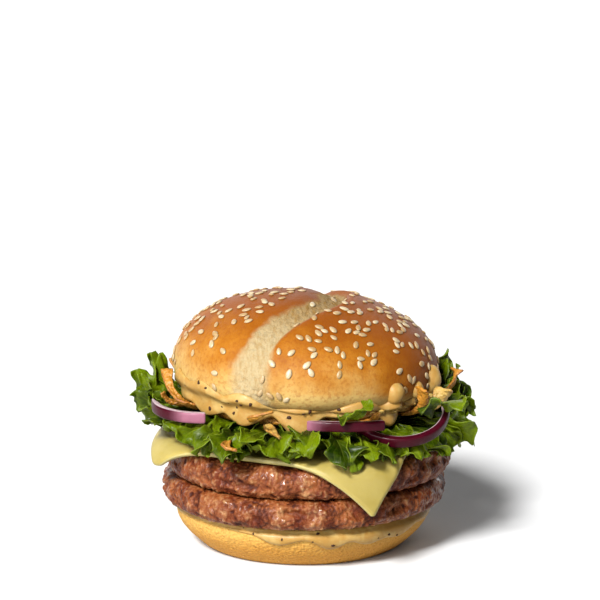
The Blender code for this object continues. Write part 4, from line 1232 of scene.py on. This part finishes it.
# Small shapes, and what both sauces share
def fleck_object():
    """A flat chip of husk, one unit across."""
    corners = ((0.2, 1.0), (1.3, 0.8), (2.3, 1.05), (3.3, 0.9), (4.4, 1.0), (5.4, 0.85))
    ring = [Vector((0.5 * math.cos(a) * r, 0.36 * math.sin(a) * r, 0)) for a, r in corners]
    rings = [Vector((0, 0, -0.12)), [p - UP * 0.05 for p in ring], [p * 0.8 + UP * 0.14 for p in ring]]
    heap = Heap()
    heap.add_rings([*rings, Vector((0.05, 0, 0.17))])
    return heap.build("fleck")


def serve_sauce(heap, name, flecks_name, node, settings):
    """Serves a run of sauce, and strews its flecks of pepper over what shows of it."""
    sauce = serve(heap.build(name), bpy.data.materials["poured_sauce"], "pepper_sauce", node)
    pepper = bpy.data.materials["pepper_husk"]
    fleck = fleck_object()
    density = settings.fleck_count * CENTIMETRES_SQUARED
    inputs = {"Fleck": fleck, "Density": density, "Size": settings.fleck_size, "Material": pepper}
    flecks = grown_by(fleck_scatter(), sauce, inputs, flecks_name)
    bpy.data.objects.remove(fleck)
    serve(flecks, pepper, "pepper_sauce", node)


def add_blob(heap, centre, half_width, half_height, **marks):
    """An uneven round lump."""
    rings = [centre - UP * half_height]
    for turn in spread(-80, 80, BLOB_ROWS):
        level, girth = math.sin(math.radians(turn)), math.cos(math.radians(turn))
        ring = []
        for a in angles(BLOB_COLUMNS):
            spot = centre + polar(half_width * girth, a, half_height * level)
            ring.append(centre + (spot - centre) * (1 + 0.16 * wave(spot, 5 * MM, 105)))
        rings.append(ring)
    rings.append(centre + UP * half_height)
    heap.add_rings(rings, **marks)


def seed_object():
    """A sesame seed one unit long, lying on its flat side, with its narrow end towards +X."""
    rings = [Vector((-0.5, 0, 0.08))]
    for turn in (-64, -36, -8, 20, 46, 70):
        x = 0.5 * math.sin(math.radians(turn))
        girth = math.cos(math.radians(turn)) * (1 - 0.34 * max(0.0, x + 0.1))
        ring = []
        for a in angles(SEED_SIDES):
            y, z = math.cos(math.radians(a)), math.sin(math.radians(a))
            ring.append(Vector((x, 0.32 * girth * y, 0.08 + 0.13 * girth * z)))
        rings.append(ring)
    heap = Heap()
    heap.add_rings([*rings, Vector((0.5, 0, 0.08))])
    return heap.build("seed")


# Operators
class BURGER_OT_heel(bpy.types.Operator):
    """Make the heel, the bun's lower half"""

    bl_idname = "burger.heel"
    bl_label = "Heel"

    def execute(self, context):
        settings = context.scene.burger_heel
        stretch = settings.height / HEEL_HEIGHT
        columns = angles(HEEL_COLUMNS)
        rings = [Vector((0, 0, 0)), [polar(0.9 * HEEL_FOOT_RADIUS, a, 0) for a in columns]]
        for z in spread(0, HEEL_HEIGHT, HEEL_ROWS):
            ring = []
            for a in columns:
                radius = heel_radius(a, z) - 0.6 * MM * (1 - smooth(z / (1.2 * MM)))
                spot = polar(radius, a, z)
                dents = 0.12 * MM * wave(spot, 3 * MM, 61) + 0.16 * MM * wave(spot, 9 * MM, 62)
                ring.append(polar(radius + dents * smooth(z / (2 * MM)), a, z * stretch))
            rings.append(ring)
        heap = Heap()
        heap.add_rings([*rings, Vector((0, 0, settings.height))])
        serve(heap.build("heel"), heel_material(settings), "heel_crust", "bun_heel")
        return {"FINISHED"}


class BURGER_OT_sauce_finishes(bpy.types.Operator):
    """Mix the pepper sauce and its pepper, which both runs of sauce share"""

    bl_idname = "burger.sauce_finishes"
    bl_label = "Sauce Finishes"

    def execute(self, context):
        sauce_material(context.scene.burger_sauce)
        pepper_material(context.scene.burger_sauce)
        return {"FINISHED"}


class BURGER_OT_lower_sauce(bpy.types.Operator):
    """Make the pepper sauce that runs down over the heel"""

    bl_idname = "burger.lower_sauce"
    bl_label = "Lower Sauce"

    def execute(self, context):
        columns = angles(HEEL_COLUMNS)
        sections = [lower_sauce_section(a) for a in columns]
        rings, shown = [Vector((0, 0, LOWER_SAUCE_TOP))], [0.0]
        for k in range(len(sections[0])):
            rings.append([polar(section[k][0], a, section[k][1]) for section, a in zip(sections, columns)])
            shown += [1.0 if k in LOWER_SAUCE_OUTSIDE else 0.0] * len(columns)
        heap = Heap("shown")
        heap.add_rings([*rings, Vector((0, 0, HEEL_HEIGHT - 0.4 * MM))], shown=[*shown, 0.0])
        serve_sauce(heap, "lower_sauce", "lower_pepper", "sauce_lower", context.scene.burger_sauce)
        return {"FINISHED"}


class BURGER_OT_patties(bpy.types.Operator):
    """Make both patties of ground meat"""

    bl_idname = "burger.patties"
    bl_label = "Patties"

    def execute(self, context):
        settings = context.scene.burger_patty
        material = beef_material(settings)
        layers = (
            ("lower_patty", "patty_lower", LOWER_PATTY_CENTRE, LOWER_PATTY_THICKNESS, 1),
            ("upper_patty", "patty_upper", UPPER_PATTY_CENTRE, UPPER_PATTY_THICKNESS, 2),
        )
        columns = angles(PATTY_COLUMNS)
        for name, node, centre, thickness, seed in layers:
            rings, crest = [centre], [0.0]
            for edge in spread(-90, 90, PATTY_ROWS):
                level, rise = math.cos(math.radians(edge)), math.sin(math.radians(edge))
                share = settings.relief * (0.25 + 0.75 * level**0.5) if abs(edge) < 90 else 0.0
                ring = []
                for a in columns:
                    point = patty_point(centre, thickness, a, edge, seed)
                    relief = meat_relief(point, seed)
                    out = polar(level + 0.05, a, 0.6 * rise)
                    ring.append(point + out.normalized() * relief * share)
                    # how high the relief stands here; the material paints highlight on the crests and shade
                    # in the hollows from it
                    crest.append(min(1.0, max(0.0, 0.55 + relief / (1.5 * MM))))
                rings.append(ring)
            rim, top = rings[-1], centre + UP * thickness
            rings += [[top.lerp(point, share) for point in rim] for share in (0.8, 0.5)]
            crest += [0.5] * (2 * len(columns) + 1)
            heap = Heap("crest")
            heap.add_rings([*rings, top], crest=crest)
            serve(heap.build(name), material, "beef", node)
        return {"FINISHED"}


class BURGER_OT_cheese(bpy.types.Operator):
    """Make the slice of cheese draped over the upper patty"""

    bl_idname = "burger.cheese"
    bl_label = "Cheese"

    def execute(self, context):
        settings = context.scene.burger_cheese

        def point_at(t, s):
            point = cheese_point(toward_edges(2 * t - 1), toward_edges(s), settings.thickness / 2)
            return point + UP * 0.25 * MM * wave(point, 18 * MM, 71)

        def thickness_at(t, s):
            edge = max(abs(toward_edges(2 * t - 1)), abs(toward_edges(s)))
            return settings.thickness * (1 - 0.45 * smooth((edge - 0.975) / 0.025))

        heap = Heap("along", "across")
        heap.add_sheet(point_at, *CHEESE_GRID, thickness_at)
        reach = zip(heap.marks["along"], heap.marks["across"])
        heap.marks["rim"] = [smooth((max(abs(2 * t - 1), abs(s)) - 0.985) / 0.015) for t, s in reach]
        serve(heap.build("cheese"), cheese_material(settings), "cheese", "cheese_slice")
        return {"FINISHED"}


class BURGER_OT_lettuce(bpy.types.Operator):
    """Make the leaves of lettuce, the shreds between them and the sprigs that lie on the onion"""

    bl_idname = "burger.lettuce"
    bl_label = "Lettuce"

    def execute(self, context):
        settings = context.scene.burger_lettuce
        material = lettuce_material(settings)

        def thickness_at(t, s):
            return settings.thickness * (1.15 - 0.5 * abs(s) - 0.3 * t)

        draw = random.Random(DRAWS["leaf shades"])
        layers = (
            ("lettuce_leaves", all_leaves(), FIRST_LEAF_SEED, LEAF_GRID),
            ("lettuce_shreds", all_shreds(settings.shred_count), FIRST_SHRED_SEED, SHRED_GRID),
        )
        for name, leaves, first_seed, grid in layers:
            heap = Heap(*SHEET_MARKS)
            for seed, leaf in enumerate(leaves, first_seed):
                heap.add_sheet(bed_leaf(seed, leaf), *grid, thickness_at, shade=draw.uniform(0.0, 1.0))
            serve(heap.build(name), material, "lettuce", "lettuce_bed")

        def core_point(radius, a, z):
            spot = polar(radius * (1 + 0.05 * wave(polar(1, a, 0), 0.4, 9)), a, z)
            return spot + polar(1.6 * MM * wave(spot, 6 * MM, 81), a, 0)

        middle, half = (LETTUCE_Z + LETTUCE_CORE_TOP) / 2, (LETTUCE_CORE_TOP - LETTUCE_Z) / 2
        rings = [Vector((0, 0, LETTUCE_Z))]
        for turn in spread(-90, 90, LETTUCE_CORE_ROWS):
            lift = math.sin(math.radians(turn))
            radius = LETTUCE_CORE_RADIUS - 3 * MM * lift**2
            rings.append([core_point(radius, a, middle + lift * half) for a in angles(LETTUCE_CORE_COLUMNS)])
        core = Heap(*SHEET_MARKS)
        core.add_rings([*rings, Vector((0, 0, LETTUCE_CORE_TOP))], along=0.8, across=0.5, shade=0.05)
        serve(core.build("lettuce_core"), material, "lettuce", "lettuce_bed")

        for node, *places, width, roll, seed in SPRIGS:
            root, elbow, tip = (Vector(place) * MM for place in places)
            sprig = Heap(*SHEET_MARKS)
            surface = leaf_surface(root, elbow, tip, width * MM, roll, seed)
            sprig.add_sheet(surface, *SPRIG_GRID, thickness_at, shade=1.0)
            serve(sprig.build(node.replace("lettuce_sprig", "sprig")), material, "lettuce", node)
        return {"FINISHED"}


class BURGER_OT_onion(bpy.types.Operator):
    """Make the lengths of red onion ring"""

    bl_idname = "burger.onion"
    bl_label = "Red Onion"

    def execute(self, context):
        material = onion_material(context.scene.burger_onion)
        for node, centre, radius, first, last, tilt, height in ONIONS:
            first_fade, turning, last_fade, bare = ONION_FADING[node]
            rings, along, skin, fade = [], [], [], []
            lean = Matrix.Rotation(math.radians(tilt), 3, "X")
            place = Vector(centre) * MM
            for share in spread(0, 1, ONION_STEPS):
                angle = first + (last - first) * share
                wall = ONION_WALL * (0.45 + 0.55 * smooth(share * 5))
                end = min(share, 1 - share) * abs(last - first) * math.pi / 180 * radius * MM
                shrink = 0.86 + 0.14 * smooth(end / (0.5 * MM))
                ring = []
                for phi in angles(ONION_SIDES):
                    c, s = math.cos(math.radians(phi)), math.sin(math.radians(phi))
                    outward = wall / 2 * (math.copysign(abs(c) ** 0.45, c) * shrink - 1)
                    level = height * MM / 2 * (1 + math.copysign(abs(s) ** 0.5, s) * shrink)
                    outward += 0.1 * MM * wave(Vector((share * 9, phi / 60, 0)), 1.0, radius)
                    ring.append(lean @ polar(radius * MM + outward, angle, level) + place)
                    skin.append(smooth((c - bare) / 0.45))
                along += [share] * ONION_SIDES
                faded = first_fade + (last_fade - first_fade) * smooth((share - turning) / 0.5)
                fade += [faded] * ONION_SIDES
                rings.append(ring)
            first_cut, last_cut = (sum(ring, Vector()) / len(ring) for ring in (rings[0], rings[-1]))
            heap = Heap(*ONION_MARKS)
            heap.add_rings(
                [first_cut, *rings, last_cut], along=[0.0, *along, 1.0], skin=[0.0, *skin, 0.0],
                fade=[fade[0], *fade, fade[-1]],
            )
            serve(heap.build(node.replace("onion", "red_onion")), material, "red_onion", node)
        return {"FINISHED"}


class BURGER_OT_crisps(bpy.types.Operator):
    """Make the crispy fried onion"""

    bl_idname = "burger.crisps"
    bl_label = "Crispy Onion"

    def execute(self, context):
        settings = context.scene.burger_crisp
        material = crisp_material(settings)
        draw = random.Random(DRAWS["crisps"])

        def thickness_at(t, s):
            return 1.25 * MM * (1 - 0.45 * abs(s))

        flakes, crumbs, core = (Heap(*SHEET_MARKS) for _ in range(3))
        for crisp in all_crisps():
            flakes.add_sheet(crisp_surface(*crisp), *CRISP_GRID, thickness_at, shade=draw.uniform(0, 1))
        for _ in range(settings.crumb_count):
            angle, share = draw.uniform(-66, -4), draw.uniform(0.3, 0.85)
            climb, _, thick = dollop_sizes(angle)
            climb = SAUCE_LEAST_CLIMB + (climb - SAUCE_LEAST_CLIMB) * share
            spot = crown_skin(angle, climb, GAP + 0.75 * thick)
            size = draw.uniform(0.5, 1.3) * MM
            add_blob(crumbs, spot, size, 0.8 * size, across=draw.uniform(0.2, 1.0), shade=draw.uniform(0, 1))
        top = CROWN_RIM_Z - UPPER_SAUCE_DEPTH - 2 * GAP
        lean = math.tan(math.radians(CROWN_TILT))
        rings = [Vector((0, 0, CRISP_Z))]
        for share in spread(0, 1, CRISP_CORE_ROWS):
            swell = math.sin(math.pi * min(1.0, 0.1 + share))
            ring = []
            for a in angles(CRISP_CORE_COLUMNS):
                radius = CRISP_CORE_RADIUS - 3 * MM + 3 * MM * swell
                spot = polar(radius * (1 + 0.04 * wave(polar(1, a, 0), 0.35, 4)), a, 0)
                spot.z = CRISP_Z + (top - lean * spot.x - CRISP_Z) * share
                ring.append(spot + polar(1.2 * MM * wave(spot, 4 * MM, 91), a, 0))
            rings.append(ring)
        core.add_rings([*rings, Vector((0, 0, top))], shade=0.3)
        for name, heap in (("crisp_flakes", flakes), ("crisp_crumbs", crumbs), ("crisp_core", core)):
            serve(heap.build(name), material, "fried_onion", "crispy_onions")
        return {"FINISHED"}


class BURGER_OT_upper_sauce(bpy.types.Operator):
    """Make the pepper sauce that is pressed out under the crown"""

    bl_idname = "burger.upper_sauce"
    bl_label = "Upper Sauce"

    def execute(self, context):
        columns = angles(UPPER_SAUCE_COLUMNS)
        sections = [rounded(upper_sauce_corners(a), UPPER_SAUCE_STEPS) for a in columns]
        climbs = [dollop_sizes(a)[0] for a in columns]
        count = len(sections[0])
        rings, shown = [crown_place(Vector((0, 0, -UPPER_SAUCE_DEPTH)))], [0.0]
        for k in range(count):
            outside = UPPER_SAUCE_INSIDE[0] <= k < count - UPPER_SAUCE_INSIDE[1]
            ring = []
            for a, section, climb in zip(columns, sections, climbs):
                point = section[k]
                wobble = 0.3 * MM * wave(point, 6 * MM, 101) + 0.1 * MM * wave(point, 2 * MM, 102)
                ring.append(point + polar(wobble if outside else 0.0, a, 0))
                shown.append(1.0 if outside and climb > -70 else 0.0)
            rings.append(ring)
        heap = Heap("shown")
        heap.add_rings([*rings, crown_place(Vector((0, 0, 0.6 * MM)))], shown=[*shown, 0.0])
        for a, climb, outward, wide, high in BLOBS:
            add_blob(heap, crown_skin(a, climb, outward * MM), wide * MM, high * MM, shown=0.6)
        serve_sauce(heap, "upper_sauce", "upper_pepper", "sauce_upper", context.scene.burger_sauce)
        return {"FINISHED"}


class BURGER_OT_crown(bpy.types.Operator):
    """Make the crown, the bun's domed top with its pale fold"""

    bl_idname = "burger.crown"
    bl_label = "Crown"

    def execute(self, context):
        settings = context.scene.burger_crown
        rings, torn, bake = [crown_place(Vector((0, 0, 0)))], [0.0], [0.0]
        for climb in spread(-90, -20, CROWN_RIM_ROWS)[:-1] + spread(-20, 86, CROWN_DOME_ROWS):
            radius, height = crown_profile(climb)
            share = smooth((climb + 80) / 20)
            ring = []
            for a in angles(settings.columns):
                base = polar(radius, a, height)
                torn.append(torn_share(base, climb))
                # the crust's browning, with the painted shade on the right
                bake.append(browning_and_right_shade(base, climb))
                ring.append(crown_skin(a, climb, crown_detail(base, climb, torn[-1]) * share))
            rings.append(ring)
        heap = Heap("torn", "bake")
        heap.add_rings([*rings, crown_skin(0, 90)], torn=[*torn, 0.0], bake=[*bake, 1.0])
        serve(heap.build("crown"), crown_material(settings), "crown_crust", "bun_crown")
        return {"FINISHED"}


class BURGER_OT_seeds(bpy.types.Operator):
    """Scatter sesame seeds over the crown"""

    bl_idname = "burger.seeds"
    bl_label = "Sesame Seeds"

    def execute(self, context):
        settings = context.scene.burger_crown
        skin = BVHTree.FromObject(bpy.data.objects["crown"], context.evaluated_depsgraph_get())
        points, facing, turn, grow = [], [], [], []
        for angle, climb, degrees, size in seed_spots(settings.seed_count):
            spot, normal, *_ = skin.find_nearest(crown_skin(angle, climb))
            points.append(spot)
            facing.extend(normal)
            turn.append(math.radians(degrees))
            grow.append(size)
        mesh = bpy.data.meshes.new("seed_spots")
        mesh.from_pydata(points, [], [])
        mesh.attributes.new("facing", "FLOAT_VECTOR", "POINT").data.foreach_set("vector", facing)
        mesh.attributes.new("turn", "FLOAT", "POINT").data.foreach_set("value", turn)
        mesh.attributes.new("grow", "FLOAT", "POINT").data.foreach_set("value", grow)
        spots = bpy.data.objects.new("seed_spots", mesh)
        context.scene.collection.objects.link(spots)
        seed = seed_object()
        material = seed_material(settings)
        inputs = {"Seed": seed, "Length": settings.seed_length, "Material": material}
        seeds = grown_by(seed_scatter(), spots, inputs, "sesame_seeds")
        seeds.data.shade_smooth()
        for spent in (spots, seed):
            bpy.data.objects.remove(spent)
        serve(seeds, material, "crown_crust", "bun_crown")
        return {"FINISHED"}


# Y and Z of the floor and of the backdrop that it bends up into, in metres
FLOOR_PROFILE = ((-3.0, 0.0), (0.0, 0.0), (3.0, 0.0), (3.6, 0.1), (4.0, 0.5), (4.2, 1.2), (4.2, 4.0))
FLOOR_HALF_WIDTH = 5.0
# Each light's setting, the width of its source in degrees, and the way towards it
LIGHTS = (("key", 14, (-0.5, -1.0, 0.98)), ("low", 40, (-0.7, -0.95, 0.12)), ("back", 60, (0.5, 1.0, 0.5)))
CAMERA_SIDE = -1.2 * MM
CAMERA_PITCH = 80.15  # degrees up from straight down
SENSOR_WIDTH = 36  # mm


class BURGER_OT_stage(bpy.types.Operator):
    """Set up the floor, the lights and the camera"""

    bl_idname = "burger.stage"
    bl_label = "Stage"

    def execute(self, context):
        scene, settings = context.scene, context.scene.burger_stage
        points = [(x, y, z) for y, z in FLOOR_PROFILE for x in (-FLOOR_HALF_WIDTH, FLOOR_HALF_WIDTH)]
        starts = range(0, len(points) - 2, 2)
        mesh = bpy.data.meshes.new("floor")
        mesh.from_pydata(points, [], [(i, i + 1, i + 3, i + 2) for i in starts])
        mesh.shade_smooth()
        mesh.materials.append(floor_material(settings))
        floor = bpy.data.objects.new("floor", mesh)
        scene.collection.objects.link(floor)
        scene.world = bpy.data.worlds.new("studio")
        scene.world.use_nodes = True
        studio = scene.world.node_tree.nodes["Background"].inputs
        studio["Color"].default_value = (1, 1, 1, 1)
        studio["Strength"].default_value = settings.fill
        for name, width, toward in LIGHTS:
            light = bpy.data.lights.new(name, "SUN")
            light.energy = getattr(settings, name)
            light.angle = math.radians(width)
            lamp = bpy.data.objects.new(name, light)
            lamp.rotation_euler = Vector(toward).to_track_quat("Z", "Y").to_euler()
            scene.collection.objects.link(lamp)
        lens = bpy.data.cameras.new("camera")
        lens.lens = settings.camera_lens
        lens.sensor_width = SENSOR_WIDTH
        camera = bpy.data.objects.new("camera", lens)
        camera.location = (CAMERA_SIDE, -settings.camera_distance, settings.camera_height)
        camera.rotation_euler = (math.radians(CAMERA_PITCH), 0, 0)
        scene.collection.objects.link(camera)
        scene.camera = camera
        scene.view_settings.view_transform = "Standard"
        return {"FINISHED"}


class BURGER_PT_panel(bpy.types.Panel):
    """Lists the pieces of the burger and their settings"""

    bl_label = "Double Cheeseburger"
    bl_idname = "BURGER_PT_panel"
    bl_space_type = "VIEW_3D"
    bl_region_type = "UI"
    bl_category = "Burger"

    def draw(self, context):
        for operator in OPERATORS:
            self.layout.operator(operator.bl_idname)
        for key in SETTINGS:
            box = self.layout.box()
            settings = getattr(context.scene, key)
            for name in settings.bl_rna.properties.keys():
                if name not in ("rna_type", "name"):
                    box.prop(settings, name)


SETTINGS = {
    "burger_heel": HeelSettings,
    "burger_sauce": SauceSettings,
    "burger_patty": PattySettings,
    "burger_cheese": CheeseSettings,
    "burger_lettuce": LettuceSettings,
    "burger_onion": OnionSettings,
    "burger_crisp": CrispSettings,
    "burger_crown": CrownSettings,
    "burger_stage": StageSettings,
}
OPERATORS = (
    BURGER_OT_heel, BURGER_OT_sauce_finishes, BURGER_OT_lower_sauce, BURGER_OT_patties, BURGER_OT_cheese,
    BURGER_OT_lettuce, BURGER_OT_onion, BURGER_OT_crisps, BURGER_OT_upper_sauce, BURGER_OT_crown,
    BURGER_OT_seeds, BURGER_OT_stage,
)
CLASSES = (*SETTINGS.values(), *OPERATORS, BURGER_PT_panel)


def register():
    for made in CLASSES:
        bpy.utils.register_class(made)
    for key, group in SETTINGS.items():
        setattr(bpy.types.Scene, key, PointerProperty(type=group))


def unregister():
    for key in SETTINGS:
        delattr(bpy.types.Scene, key)
    for made in reversed(CLASSES):
        bpy.utils.unregister_class(made)


def main():
    register()
    bpy.ops.burger.heel()
    bpy.ops.burger.sauce_finishes()
    bpy.ops.burger.lower_sauce()
    bpy.ops.burger.patties()
    bpy.ops.burger.cheese()
    bpy.ops.burger.lettuce()
    bpy.ops.burger.onion()
    bpy.ops.burger.crisps()
    bpy.ops.burger.upper_sauce()
    bpy.ops.burger.crown()
    bpy.ops.burger.seeds()
    bpy.ops.burger.stage()


if __name__ == "__main__":
    main()
